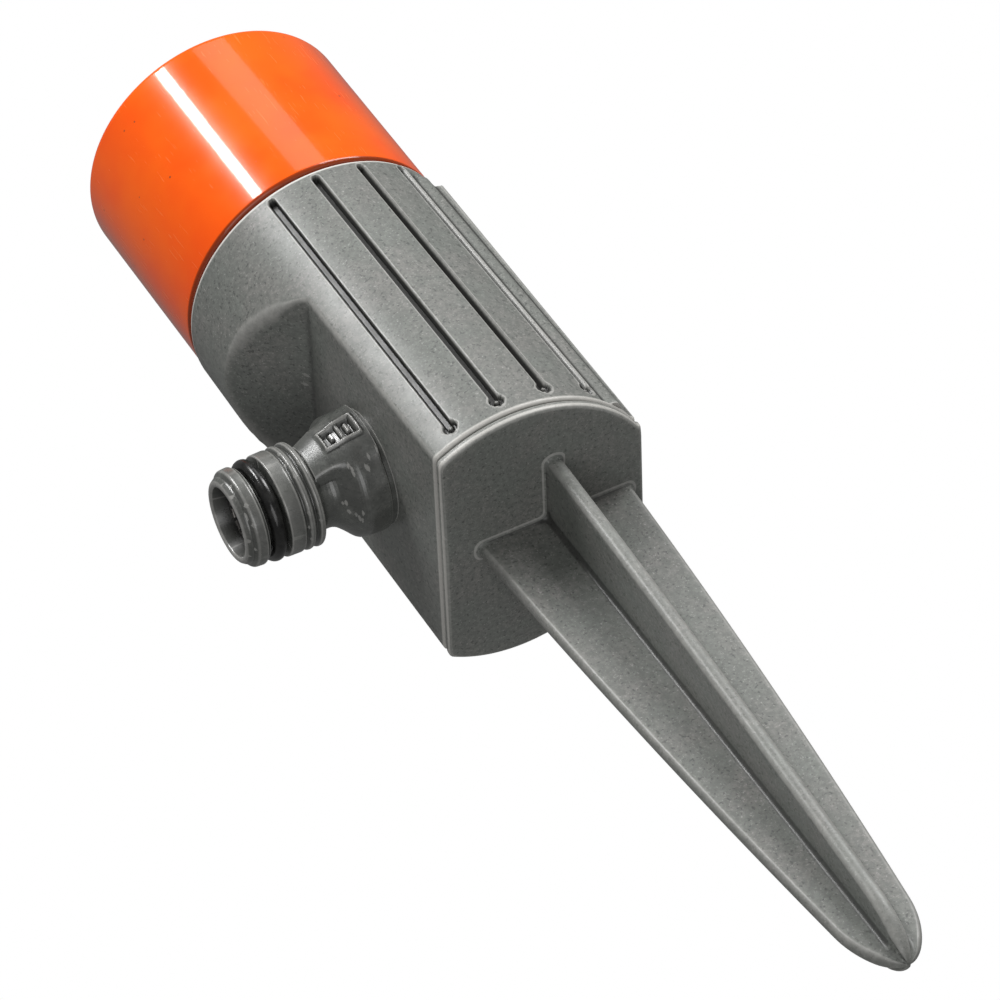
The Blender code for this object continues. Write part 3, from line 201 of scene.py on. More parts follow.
def outline(turn, height):
    """The wall's distance from the axis: a cone with a flat pad on one side, cut by the nipple's flat."""
    cosine, sine = np.cos(turn), np.sin(turn)
    cone = FOOT_RADIUS - (FOOT_RADIUS - COLLAR_RADIUS) * height / RIM
    far = plane_distance(FAR_FLAT, cosine)
    sides = plane_distance(PAD_HALF, np.abs(sine))
    pad = np.where(cosine > 0, soft_min(far, sides, CORNER_ROUND), 0.0)
    padded = soft_max(soft_min(cone, far, CORNER_ROUND), pad, VALLEY_ROUND)
    below_pad = ramp(height, PAD_TOP, PAD_TOP - 0.6 * mm)
    wall = cone + (padded - cone) * below_pad
    flat = plane_distance(nipple_side(height), -cosine)
    return soft_min(wall, flat, CORNER_ROUND)


arch_middle = outline(-math.pi / 2, 0.0)
flat_middle = outline(math.pi, 0.0)
print(f"arch {1000 * arch_middle:.1f} mm, flat {1000 * flat_middle:.1f} mm from the axis")

# %% [markdown]
# ## Grooves
# Four grooves with round ends run down the arch. A groove is a capsule on the unrolled surface, so its
# depth depends only on the distance to a line segment. The mould leaves a small dome in the lower end of
# each one, and a bead runs down the arch's far edge, beside the pad.

# %% Name the grooves' sizes
FRONT = -math.pi / 2
GROOVE_PITCH = np.radians(19.6)
GROOVES_ASIDE = np.radians(8.3)
GROOVE_TURNS = FRONT + GROOVES_ASIDE + GROOVE_PITCH * (np.arange(4) - 1.5)
GROOVE_HALF = 0.68 * mm
GROOVE_DEPTH = 1.35 * mm
GROOVE_LOW = FOOT + 3.2 * mm
GROOVE_HIGH = RIM - 1.9 * mm
DOME_HEIGHT = 1.0 * mm
LIP_HEIGHT = 0.12 * mm
BEAD_TURN = FRONT + np.radians(49.0)
BEAD_HEIGHT = 0.6 * mm
VALLEY_DEPTH = 0.5 * mm
print(f"{len(GROOVE_TURNS)} grooves, {1000 * COLLAR_RADIUS * GROOVE_PITCH:.1f} mm apart")


# %% How deep the wall is cut
def groove_depth(turn, height):
    """The depth at a distance from each groove's middle line, steep at its sides. A round hollow widens
    its lower end, less the small dome in it, and a low lip stands along its sides."""
    depth = np.zeros(np.broadcast(turn, height).shape)
    beyond = np.maximum(np.maximum(GROOVE_LOW - height, height - GROOVE_HIGH), 0.0)
    for middle in GROOVE_TURNS:
        aside = COLLAR_RADIUS * (turn - middle)
        distance = np.hypot(aside, beyond)
        cut = GROOVE_DEPTH * ramp(distance, GROOVE_HALF + 0.1 * mm, GROOVE_HALF - 0.3 * mm)
        from_end = np.hypot(aside, height - GROOVE_LOW)
        hollow = 0.8 * mm * ramp(from_end, 1.25 * mm, 0.95 * mm)
        depth = np.maximum(depth, np.maximum(cut, hollow))
        depth -= DOME_HEIGHT * ramp(from_end, 0.55 * mm, 0.25 * mm)
        lip = np.exp(-((distance - GROOVE_HALF - 0.3 * mm) / (0.17 * mm)) ** 2)
        depth -= LIP_HEIGHT * lip * (from_end > 1.4 * mm)
    return depth


def bead_height(turn, height):
    """A rounded bead with a shallow valley on its inner side, fading out below the rim."""
    aside = COLLAR_RADIUS * (turn - BEAD_TURN)
    bead = BEAD_HEIGHT * np.exp(-(aside / (1.1 * mm)) ** 2)
    valley = VALLEY_DEPTH * np.exp(-((aside + 2.0 * mm) / (0.8 * mm)) ** 2)
    return (bead - valley) * ramp(height, RIM - 1.2 * mm, RIM - 3.2 * mm)


deepest = groove_depth(GROOVE_TURNS[0], 0.5 * (GROOVE_LOW + GROOVE_HIGH))
print(f"half way up, a groove is {1000 * float(deepest):.2f} mm deep")


# %% Lay out the rows and columns
busy_turns = list(GROOVE_TURNS) + [BEAD_TURN]
turns = crowded(-math.pi, math.pi, 601, busy_turns, math.radians(2.4), 2.6)[:-1]
slope_middle = 0.5 * (SHOULDER + PAD_TOP)
busy_heights = [FOOT, GROOVE_LOW, SHOULDER + 1 * mm, slope_middle, PAD_TOP, GROOVE_HIGH, RIM]
heights = crowded(FOOT, RIM, 106, busy_heights, 1.4 * mm, 4.0)[::-1]
print(len(turns), "columns and", len(heights), "rows on the body's wall")

# %% [markdown]
# ## The body shell
# The grid goes up the inside of the collar, over the rim, down the outer wall, round the lower edge and up
# the inside again, so that the shell has a real wall and closes on itself like a ring. Each point also
# says how much painted shade it takes: the grooves are painted dark as shade.


# %% Points round the head's axis
def polar(radius, turn, height):
    """Points at a distance from the head's axis, in a direction, at a height."""
    radius, turn, height = np.broadcast_arrays(radius, turn, height)
    return np.stack([radius * np.cos(turn), radius * np.sin(turn), height], axis=-1)


def edge_round(turn, height, radius, towards, steps=7):
    """A quarter circle from the wall to a level face; towards is +1 for an upper edge, -1 for a lower."""
    angle = np.linspace(0.0, math.pi / 2, steps)[:, None]
    inset = radius * (1.0 - np.cos(angle))
    level = height - towards * radius * (1.0 - np.sin(angle))
    return polar(outline(turn, height) - inset, turn, level)


def body_wall(turn, height):
    """The outline less the grooves, with the bead on it."""
    return outline(turn, height) - groove_depth(turn, height) + bead_height(turn, height)


print(f"the bead's crest is {1000 * body_wall(BEAD_TURN, 0.5 * RIM):.1f} mm from the axis")

# %% Build the body shell
RIM_BORE = COLLAR_RADIUS - 2.2 * mm
RIM_ROUND = 0.8 * mm
FOOT_ROUND = 0.6 * mm
WALL = 2.0 * mm
PLATE_LEDGE = RIM - 4.4 * mm
BORE_CHAMFER = 0.3 * mm
column = turns[None, :]
plain_wall = (heights < RIM - RIM_ROUND) & (heights > FOOT + FOOT_ROUND)
middle_rows = heights[plain_wall][:, None]
inner_rows = np.linspace(FOOT, PLATE_LEDGE, 40)[:, None]
inner_wall = np.minimum(outline(column, inner_rows) - WALL, RIM_BORE)
shell_rows = [
    polar(RIM_BORE, column, np.array([[PLATE_LEDGE + 0.2 * mm], [RIM - BORE_CHAMFER]])),
    polar(RIM_BORE + BORE_CHAMFER, column, np.array([[RIM]])),
    edge_round(column, RIM, RIM_ROUND, 1)[::-1],
    polar(body_wall(column, middle_rows), column, middle_rows),
    edge_round(column, FOOT, FOOT_ROUND, -1),
    polar(inner_wall, column, inner_rows),
]
OUTER_WALL = 3                  # its place in the list above
shell_painted_shade = [np.zeros(rows.shape[:2]) for rows in shell_rows]
# Painted shade: the grooves are darkened where they are deeper than 0.15 mm.
shell_painted_shade[OUTER_WALL] = ramp(groove_depth(column, middle_rows), 0.15 * mm, 0.65 * mm)
body_shell = surface("grey_body", np.concatenate(shell_rows), wrap_rows=True,
                     painted_shade=np.concatenate(shell_painted_shade))

# %% [markdown]
# ## The end plate
# The plate closes the body from below. It repeats the body's outline without the grooves, with a rounded
# edge beside the dark seam; its material paints a thin highlight line along that edge.

# %% Build the end plate
PLATE_TOP = FOOT - 0.3 * mm
PLATE_ROUND = 0.65 * mm
PLATE_TOP_ROUND = 0.5 * mm
plate_turns = np.linspace(-math.pi, math.pi, 481)[None, :-1]
share = np.linspace(0.0, 1.0, 12)[:-1, None]
plate_points = np.concatenate([
    polar(share * (outline(plate_turns, 0.0) - 0.55 * mm), plate_turns, PLATE_TOP),
    edge_round(plate_turns, PLATE_TOP, PLATE_TOP_ROUND, 1)[::-1],
    edge_round(plate_turns, 0.0, PLATE_ROUND, -1),
    polar(share[::-1] * (outline(plate_turns, 0.0) - PLATE_ROUND), plate_turns, 0.0),
])
end_plate = surface("end_plate", plate_points)

# %% [markdown]
# ## The ground spike
# Its section is a cross. Walking once round it, every quarter has the same points: the round end of a fin,
# the fin's side, the small fillet in the inner corner, and the next fin's side. Their places depend on the
# fin's half width at each height, so one array holds all sections and the spike is their loft.

# %% Name the spike's sizes
SPIKE_OFFSET = 5.8 * mm
SPIKE_HALF = 13.1 * mm
FIN_HALF = 1.2 * mm
INNER_FILLET = 0.9 * mm
ROOT_FILLET = 0.8 * mm
FIN_END = 0.7                   # how far a fin's round end reaches in, in half thicknesses
NOSE_START = 91.5 * mm
TAPER = 0.042                   # what the half width loses per metre of depth
BOW = 0.35                      # and what it loses more, times the depth squared
print(f"the spike is {2000 * SPIKE_HALF:.1f} mm wide at its root")


# %% The cross section and its taper
def half_width(depth):
    """A gently bowed taper, closed by an elliptic nose near the tip."""
    taper = SPIKE_HALF - TAPER * depth - BOW * depth ** 2
    nose = np.clip((depth - NOSE_START) / (-SPIKE_END - NOSE_START), 0.0, 1.0)
    return taper * np.sqrt(1.0 - nose ** 2)


def cross_section(depth):
    """All sections at once, rows by points by 2. An eighth runs from the middle of a fin's rounded end
    along its side into the inner fillet; mirrored it is a quarter, and four quarters make the cross."""
    depth = depth[:, None]
    rise = np.clip(depth, 0.0, ROOT_FILLET)
    root = ROOT_FILLET - np.sqrt(ROOT_FILLET ** 2 - (ROOT_FILLET - rise) ** 2)
    width = half_width(np.maximum(depth, 0.0))
    thick = FIN_HALF * np.minimum(1.0, 2.6 * (width / SPIKE_HALF) ** 0.8) + root
    half = np.maximum(width + root, thick * 1.001)
    fillet = np.minimum(INNER_FILLET, 0.45 * (half - thick))
    turn = np.linspace(0.0, math.pi / 2, 7)[None, :]
    side_start = half - FIN_END * thick
    end_x = half - FIN_END * thick * (1.0 - np.cos(turn))
    end_y = thick * np.sin(turn)
    along = np.linspace(0.0, 1.0, 10)[None, 1:]
    side_x = side_start * (1.0 - along) + (thick + fillet) * along
    side_y = np.broadcast_to(thick, side_x.shape)
    bend = np.linspace(0.0, math.pi / 4, 4)[None, 1:]
    corner_x = thick + fillet - fillet * np.sin(bend)
    corner_y = thick + fillet - fillet * np.cos(bend)
    eighth = np.stack([np.concatenate([end_x, side_x, corner_x], axis=1),
                       np.concatenate([end_y, side_y, corner_y], axis=1)], axis=-1)
    quarter = np.concatenate([eighth, eighth[:, -2:0:-1, ::-1]], axis=1)
    spins = [np.array([[c, s], [-s, c]]) for c, s in ((1, 0), (0, 1), (-1, 0), (0, -1))]
    return np.concatenate([quarter @ spin for spin in spins], axis=1)


print("a section of the spike has", cross_section(np.array([0.0])).shape[1], "points")


# %% Build the spike
nose_length = -SPIKE_END - NOSE_START
nose_share = 1.0 - np.sin(np.linspace(0.05, math.pi / 2, 22))
depths = np.concatenate([[-0.5 * mm], np.linspace(0.0, ROOT_FILLET, 7), np.linspace(2 * mm, NOSE_START, 60),
                         -SPIKE_END - nose_length * nose_share])
section = cross_section(depths)
section_heights = np.broadcast_to(-depths[:, None, None], section.shape[:2] + (1,))
spike_points = np.concatenate([section, section_heights], axis=-1)
root_cap = spike_points[:1] * np.array([0.0, 0.0, 1.0])
spike_points = np.concatenate([root_cap, spike_points])
spike_points[..., 0] += SPIKE_OFFSET
spike = surface("spike_fins", spike_points)

# %% [markdown]
# ## Turned pieces
# The nipple, the O-ring, the head and the screws are turned on a lathe, in effect: a profile carried round
# an axis. `rounded` takes the corners that a drawing would show, each with its own radius, and replaces
# them by small curves. It does so for all corners at once.


# %% A profile with rounded corners, and a lathe
LONGEST_REACH = 0.48            # of a side's length, so that two corners' curves never meet


def rounded(corners, steps=5, loop=True):
    """Corners are (radius, height, rounding).  Near a corner P the curve is
    P + u (1-t)^2 + v t^2, where u and v reach back and on along the two sides."""
    table = np.array(corners, dtype=float)
    point, size = table[:, :2], table[:, 2]
    before = np.roll(point, 1, axis=0) - point
    after = np.roll(point, -1, axis=0) - point
    reach_before = np.minimum(size, LONGEST_REACH * np.linalg.norm(before, axis=1))
    reach_after = np.minimum(size, LONGEST_REACH * np.linalg.norm(after, axis=1))
    if not loop:
        reach_before[[0, -1]] = reach_after[[0, -1]] = 0.0
    u = before / np.linalg.norm(before, axis=1)[:, None] * reach_before[:, None]
    v = after / np.linalg.norm(after, axis=1)[:, None] * reach_after[:, None]
    t = np.linspace(0.0, 1.0, steps)[None, :, None]
    path = point[:, None] + u[:, None] * (1.0 - t) ** 2 + v[:, None] * t ** 2
    return path.reshape(-1, 2)


def frame_along(direction, start):
    """A matrix that turns +Z to a direction and moves the origin to a point."""
    turn = Vector(direction).to_track_quat("Z", "Y").to_matrix().to_4x4()
    return np.array(Matrix.Translation(start) @ turn)


def carried(points, placement):
    """Points of a grid moved by a matrix."""
    return points @ placement[:3, :3].T + placement[:3, 3]


def lathe(name, profile, placement=None, columns=192, loop=True):
    """Turn a profile of (radius, height) about Z, then move it to its place."""
    turn = np.linspace(-math.pi, math.pi, columns + 1)[None, :-1]
    points = polar(profile[:, :1], turn, profile[:, 1:])
    if placement is not None:
        points = carried(points, placement)
    return surface(name, points, wrap_rows=loop)


# %% [markdown]
# ## The hose nipple
# A hose connector pushes over the round nose, seals on the O-ring and locks behind the shoulder at the end
# of the barrel. Two shallow rings run round the barrel. Behind it the neck flares to a flange, which is
# thickened on one side by a gusset with a small moulded pocket. The nipple is a turned shape whose radius
# also depends on the direction, so the gusset is one more rounded maximum. The outer profile is a list of
# corners: the radius, the distance from the mouth and the rounding of each, all in millimetres.

# %% Name the nipple's sizes and its outer profile
NIPPLE_AXIS_Z = 0.5 * (nipple_low.z + nipple_high.z)
NIPPLE_LENGTH = -NIPPLE_FLAT - nipple_low.x
FLANGE_RADIUS = 0.5 * (nipple_high.z - nipple_low.z)
nipple_frame = frame_along((-1, 0, 0), (nipple_low.x, 0.0, NIPPLE_AXIS_Z))
nipple_corners = [
    (5.9, 0.0, 0.2), (6.5, 0.0, 0.3), (7.0, 0.75, 0.2), (7.05, 1.0, 0.25), (7.75, 1.5, 0.35),
    (7.85, 3.0, 0.25), (7.45, 3.3, 0.15), (7.45, 3.55, 0.1), (5.7, 3.6, 0.1), (5.7, 6.8, 0.1),
    (8.15, 6.85, 0.25), (8.2, 9.2, 0.3), (7.8, 9.5, 0.2), (7.8, 9.8, 0.2), (8.3, 10.1, 0.3),
    (8.3, 10.7, 0.3), (7.75, 11.1, 0.2), (7.75, 11.4, 0.2), (8.35, 11.7, 0.25), (8.35, 12.4, 0.4),
    (7.2, 12.9, 0.3), (6.4, 13.4, 0.5), (6.4, 15.6, 2.0), (8.3, 17.6, 1.2), (9.7, 18.8, 1.0),
    (9.8, 23.0, 0.3), (9.35, 23.15, 0.1), (9.35, 24.1, 0.1),
]
GUSSET_TURN = 0.0
WEDGE_DEPTHS = [12.4 * mm, 13.2 * mm, 16.0 * mm, 21.0 * mm, NIPPLE_LENGTH]
WEDGE_RADII = [4.0 * mm, 7.2 * mm, 8.6 * mm, 10.0 * mm, 10.7 * mm]
POCKET_MIDDLE = 19.2 * mm
POCKET_HALF_LENGTH = 2.5 * mm
POCKET_HALF_WIDTH = 1.5 * mm
POCKET_RADIUS = 9.0 * mm        # where the pocket's width is measured
RIBS = ((-1.2 * mm, 0.6 * mm), (0.2 * mm, 1.3 * mm), (1.4 * mm, 0.8 * mm))
print(f"the nipple is {1000 * NIPPLE_LENGTH:.1f} mm long")


# %% Shape the gusset with its pocket
def gusset_radius(base, turn, depth):
    """The larger of the turned radius and a wedge that rises towards the flat, within a sector. A rim
    round a shallow pocket stands on it, and three ribs of unlike length cross the pocket."""
    aside = np.angle(np.exp(1j * (turn - GUSSET_TURN)))
    sector = ramp(np.abs(aside), 0.78, 0.5)
    wedge = np.interp(depth, WEDGE_DEPTHS, WEDGE_RADII)
    before_seam = ramp(depth, NIPPLE_LENGTH - 0.8 * mm, NIPPLE_LENGTH - 1.1 * mm)
    raised = base + (soft_max(base, wedge, 0.5 * mm) - base) * sector * before_seam
    across = POCKET_RADIUS * aside
    centre = depth - POCKET_MIDDLE
    inside = np.maximum(np.abs(across) - POCKET_HALF_WIDTH, np.abs(centre) - POCKET_HALF_LENGTH)
    rim = np.exp(-((inside - 0.3 * mm) / (0.28 * mm)) ** 2)
    height = raised + 0.42 * mm * rim - 0.75 * mm * ramp(inside, 0.05 * mm, -0.3 * mm)
    for place, reach in RIBS:
        thickness = ramp(np.abs(centre - place), 0.42 * mm, 0.16 * mm)
        length = ramp(np.abs(across), reach + 0.2 * mm, reach)
        height = height + 0.7 * mm * thickness * length
    return height


print("the gusset has", len(RIBS), "ribs in its pocket")

# %% Build the nipple
BORE = 5.0 * mm
outer_path = rounded([(r * mm, -s * mm, c * mm) for r, s, c in nipple_corners], loop=False)
level = np.concatenate([outer_path[:, 1], np.linspace(-12.5 * mm, -NIPPLE_LENGTH, 110)])
level = np.unique(np.round(level, 7))[::-1]
level = level[level < -0.02 * mm]
nipple_turns = np.linspace(-math.pi, math.pi, 241)[None, :-1]
order = np.argsort(-outer_path[:, 1], kind="stable")
base_radius = np.interp(-level, -outer_path[order, 1], outer_path[order, 0])[:, None]
depth_column = -level[:, None]
wall_points = polar(gusset_radius(base_radius, nipple_turns, depth_column), nipple_turns, level[:, None])
mouth = np.array([(BORE, -4.0 * mm), (BORE + 0.1 * mm, -3.2 * mm), (BORE + 0.6 * mm, -0.35 * mm),
                  (BORE + 0.65 * mm, -0.15 * mm), (BORE + 0.8 * mm, 0.0), (6.2 * mm, 0.0)])
mouth_points = polar(mouth[:, :1], nipple_turns, mouth[:, 1:])
back_points = polar(np.array([[BORE], [BORE]]), nipple_turns, np.array([[-NIPPLE_LENGTH], [-12 * mm]]))
nipple_points = np.concatenate([mouth_points, wall_points, back_points])
from_axis = np.hypot(nipple_points[..., 0], nipple_points[..., 1])
# Painted shade: the inside of the bore, beyond the mouth, is darkened.
bore_painted_shade = ramp(from_axis, 5.75 * mm, 5.3 * mm) * (nipple_points[..., 2] < -0.3 * mm)
nipple_points = carried(nipple_points, nipple_frame)
hose_nipple = surface("nipple_body", nipple_points, wrap_rows=True, painted_shade=bore_painted_shade)

# %% [markdown]
# ## The O-ring and the strainer
# The O-ring is a torus that stands a little proud of the barrel. The strainer is a thimble with a rolled
# rim; its holes are left to its material, because there are hundreds of them.

# %% Build the O-ring
ring_low, ring_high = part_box("nipple_o_ring")
RING_OUTER = 0.5 * (ring_high.z - ring_low.z)
RING_HALF = 0.5 * (ring_high.x - ring_low.x)
around = np.linspace(0.0, 2 * math.pi, 33)[:-1]
ring_radius = RING_OUTER - RING_HALF * (1.0 - np.cos(around))
ring_profile = np.stack([ring_radius, RING_HALF * np.sin(around)], axis=1)
ring_frame = frame_along((-1, 0, 0), (0.5 * (ring_low.x + ring_high.x), 0.0, NIPPLE_AXIS_Z))
o_ring = lathe("rubber_o_ring", ring_profile, ring_frame)

# %% Build the strainer
strainer_low, strainer_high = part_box("inlet_strainer")
deep = strainer_high.x - nipple_low.x
shallow = strainer_low.x - nipple_low.x
CUP = 0.5 * (strainer_high.z - strainer_low.z)
strainer = lathe("mesh_strainer", rounded([
    (0.0, -deep, 0.0), (CUP - 1.0 * mm, -deep, 0.8 * mm), (CUP - 0.2 * mm, -shallow - 1.2 * mm, 0.3 * mm),
    (CUP, -shallow - 1.0 * mm, 0.1 * mm), (CUP, -shallow, 0.2 * mm), (CUP - 0.7 * mm, -shallow, 0.2 * mm),
    (CUP - 1.3 * mm, -deep + 0.4 * mm, 0.7 * mm), (0.0, -deep + 0.4 * mm, 0.0)], loop=False),
    nipple_frame, columns=96, loop=False)

# %% [markdown]
# ## The head
# The head is a plain cup, open below. Its upper edge is rounded, and in its top are a recess with a plug
# and the hole of the flow screw. The jet leaves through a round window, cut by a Boolean with a turned
# cutter that widens towards the outside, which leaves a bevelled edge.

# %% Build the head shell
HEAD_WALL = 2.1 * mm
plug_low, plug_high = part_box("top_plug")
screw_low, screw_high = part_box("flow_screw")
PLUG = 0.5 * (plug_high.x - plug_low.x)
RECESS = PLUG + 0.3 * mm
RECESS_DEPTH = 2.4 * mm
SHAFT_HOLE = 1.7 * mm           # the head screw's hole
top = head_high.z
head = lathe("orange_head", rounded([
    (SHAFT_HOLE, top - RECESS_DEPTH, 0.0), (RECESS, top - RECESS_DEPTH, 0.2 * mm), (RECESS, top, 0.35 * mm),
    (HEAD_RADIUS, top, 1.1 * mm), (HEAD_RADIUS, head_low.z, 0.9 * mm),
    (HEAD_RADIUS - HEAD_WALL, head_low.z, 0.3 * mm), (HEAD_RADIUS - HEAD_WALL, top - HEAD_WALL, 1.0 * mm),
    (RECESS + 1.2 * mm, top - HEAD_WALL, 0.6 * mm), (RECESS + 1.2 * mm, top - 3.9 * mm, 0.3 * mm),
    (SHAFT_HOLE, top - 3.9 * mm, 0.0)], steps=8), columns=320)


# %% Cut the jet's window and the flow screw's hole
def cut(piece, cutter):
    """Take one closed mesh away from another with an exact Boolean, and remove the cutter."""
    modifier = piece.modifiers.new("cut", "BOOLEAN")
    modifier.solver = "EXACT"
    modifier.object = cutter
    bpy.context.view_layer.update()
    graph = bpy.context.evaluated_depsgraph_get()
    fresh = bpy.data.meshes.new_from_object(piece.evaluated_get(graph))
    piece.modifiers.clear()
    piece.data = fresh
    bpy.data.objects.remove(cutter)
    return clean(piece, sharp=35)


insert_low, insert_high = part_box("nozzle_insert")
JET_ELEVATION = math.radians(20)
jet_way = (0.0, math.cos(JET_ELEVATION), math.sin(JET_ELEVATION))
jet_middle = 0.5 * (insert_low + insert_high)
jet_frame = frame_along(jet_way, jet_middle)
WINDOW = 4.0 * mm
CUTTER_REACH = 16 * mm
window = lathe("window_cutter", np.array([
    (0.0, 0.0), (WINDOW, 0.0), (WINDOW, 4.6 * mm), (WINDOW + 2.2 * mm, 6.8 * mm),
    (WINDOW + 4 * mm, CUTTER_REACH), (0.0, CUTTER_REACH)]), jet_frame, columns=96, loop=False)
cut(head, window)
screw_x = 0.5 * (screw_low.x + screw_high.x)
screw_y = 0.5 * (screw_low.y + screw_high.y)
SCREW_HEAD = 0.5 * (screw_high.x - screw_low.x)
hole = lathe("hole_cutter", np.array([
    (0.0, top - 4 * mm), (SCREW_HEAD + 0.3 * mm, top - 4 * mm), (SCREW_HEAD + 0.3 * mm, top - 0.3 * mm),
    (SCREW_HEAD + 0.9 * mm, top + 0.3 * mm), (0.0, top + 0.3 * mm)]),
    np.array(Matrix.Translation((screw_x, screw_y, 0.0))), columns=64, loop=False)
cut(head, hole)

# %% Build the plug, the two screws and the nozzle's insert
RING_CUT = 0.25 * mm            # the shallow ring in the plug's top
plug = lathe("round_plug", rounded([
    (0.0, plug_high.z, 0.0), (PLUG - 1.6 * mm, plug_high.z, 0.4 * mm),
    (PLUG - 1.9 * mm, plug_high.z - RING_CUT, 0.2 * mm), (PLUG - 1.2 * mm, plug_high.z - RING_CUT, 0.2 * mm),
    (PLUG - 0.9 * mm, plug_high.z, 0.2 * mm),
    (PLUG, plug_high.z, 0.3 * mm), (PLUG, plug_low.z, 0.1 * mm), (0.0, plug_low.z, 0.0)], loop=False),
    loop=False)


def slotted_screw(name, node, shank, head_height):
    """A turned screw whose shank carries a fine thread, with a straight slot across its crowned head."""
    low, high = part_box(node)
    x = 0.5 * (low.x + high.x)
    y = 0.5 * (low.y + high.y)
    outer = 0.5 * (high.x - low.x)
    pitch = 0.5 * mm
    thread = np.linspace(high.z - head_height - 0.3 * mm, low.z + 0.2 * mm, 120)
    wave = shank - 0.12 * mm * (1.0 + np.cos(2 * math.pi * thread / pitch))
    cap = rounded([(0.0, high.z, 0.0), (outer, high.z - 0.15 * mm, 0.3 * mm),
                   (outer, high.z - head_height, 0.1 * mm), (shank, high.z - head_height, 0.0)], loop=False)
    profile = np.concatenate([cap, np.stack([wave, thread], axis=1), [[0.0, low.z]]])
    screw = lathe(name, profile, np.array(Matrix.Translation((x, y, 0.0))), columns=48, loop=False)
    bar = bpy.data.meshes.new("slot_bar")
    work = bmesh.new()
    bmesh.ops.create_cube(work, size=1.0)
    bmesh.ops.scale(work, vec=(3 * outer, 0.6 * mm, 1.2 * mm), verts=work.verts)
    bmesh.ops.translate(work, vec=(x, y, high.z), verts=work.verts)
    work.to_mesh(bar)
    work.free()
    blade = bpy.data.objects.new("slot_bar", bar)
    bpy.context.scene.collection.objects.link(blade)
    return cut(screw, blade)


flow_screw = slotted_screw("slotted_flow_screw", "flow_screw", 1.2 * mm, 1.2 * mm)
head_screw = slotted_screw("slotted_head_screw", "head_screw", 1.4 * mm, 1.1 * mm)
INSERT = 3.3 * mm
INSERT_BORE = 1.7 * mm
INSERT_SPAN = ((insert_high.y - insert_low.y) - 2 * INSERT * jet_way[2]) / jet_way[1]
TIP_FACE = 0.5 * INSERT_SPAN
TIP_BACK = -TIP_FACE
insert = lathe("nozzle_tip", rounded([
    (INSERT_BORE, TIP_BACK, 0.1 * mm), (INSERT_BORE, TIP_FACE - 0.9 * mm, 0.2 * mm),
    (INSERT_BORE + 0.6 * mm, TIP_FACE, 0.2 * mm), (INSERT, TIP_FACE, 0.25 * mm),
    (INSERT, TIP_BACK, 0.2 * mm)]), jet_frame, columns=96)

# %% [markdown]
# ## Say what each piece rides on and which nodes it stands for
# A piece turns with its body when a joint moves. The designed nodes that it replaces are left out of the
# picture.

# %% Tie the pieces to the bodies
for piece, body, node, slot_name in [
        (body_shell, "housing", "body_shell", "grey_plastic"),
        (spike, "housing", "ground_spike", "grey_plastic"),
        (hose_nipple, "housing", "hose_nipple", "grey_plastic"),
        (o_ring, "housing", "nipple_o_ring", "black_rubber"),
        (strainer, "housing", "inlet_strainer", "strainer_steel"),
        (head, "head", "head_shell", "orange_plastic"),
        (plug, "head", "top_plug", "orange_plastic"),
        (head_screw, "head", "head_screw", "steel"),
        (insert, "head", "nozzle_insert", "black_plastic"),
        (flow_screw, "flow_adjuster", "flow_screw", "steel")]:
    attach(piece, body)
    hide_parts(node)
    print(f"{piece.name} rides {body} and stands for {node}")

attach(end_plate, "housing")
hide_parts("body_shell")

# %% [markdown]
# ## Shader maths
# A material is a net of nodes. Written out one by one they are hard to read, so a small class wraps a
# socket: adding or multiplying wrapped sockets adds Math nodes, and one method makes any other node.


# %% A socket that can be used in expressions
class Wire:
    """A socket in a node tree; arithmetic on it adds Math nodes."""

    def __init__(self, tree, socket):
        self.tree, self.socket = tree, socket

    def node(self, kind, settings=None, values=None, output=0):
        """Make a node of a type: its settings first, then its sockets' values or links."""
        fresh = self.tree.nodes.new(kind)
        for name, value in (settings or {}).items():
            setattr(fresh, name, value)
        for name, value in (values or {}).items():
            if isinstance(value, Wire):
                self.tree.links.new(value.socket, fresh.inputs[name])
            else:
                fresh.inputs[name].default_value = value
        return Wire(self.tree, fresh.outputs[output])

    def math(self, operation, first, second):
        """A Math node on two wires or numbers."""
        return self.node("ShaderNodeMath", {"operation": operation}, {0: first, 1: second})

    def __add__(self, other):
        return self.math("ADD", self, other)

    def __radd__(self, other):
        return self.math("ADD", other, self)

    def __sub__(self, other):
        return self.math("SUBTRACT", self, other)

    def __rsub__(self, other):
        return self.math("SUBTRACT", other, self)

    def __mul__(self, other):
        return self.math("MULTIPLY", self, other)

    def __rmul__(self, other):
        return self.math("MULTIPLY", other, self)

    def noise(self, size, detail=3.0, roughness=0.55):
        """A noise whose grains are about `size` metres, from 0 to 1, with its middle at 0.5."""
        return self.node("ShaderNodeTexNoise", {}, {"Vector": self, "Scale": 1.0 / size, "Detail": detail,
                                                    "Roughness": roughness})

    def step(self, low, high, to_low=0.0, to_high=1.0):
        """A smooth step of this value, from one level to another."""
        limits = {"Value": self, "From Min": low, "From Max": high, "To Min": to_low, "To Max": to_high}
        return self.node("ShaderNodeMapRange", {"interpolation_type": "SMOOTHSTEP"}, limits)

    def choose(self, first, second):
        """A colour between two, by this value; either may be a constant or a wire."""
        return self.node("ShaderNodeMix", {"data_type": "RGBA"}, {0: self, 6: first, 7: second}, output=2)

    def bump(self, strength, distance):
        """Read this value as a height."""
        return self.node("ShaderNodeBump", {}, {"Strength": strength, "Distance": distance, "Height": self})


def fresh_material(name, **constants):
    """A material with its Principled shader, and a wire with the place on the object in metres."""
    made = bpy.data.materials.new(name)
    made.use_nodes = True
    shader = made.node_tree.nodes["Principled BSDF"]
    for socket, value in constants.items():
        shader.inputs[socket.replace("_", " ")].default_value = value
    place = made.node_tree.nodes.new("ShaderNodeTexCoord").outputs["Object"]
    return made, shader, Wire(made.node_tree, place)


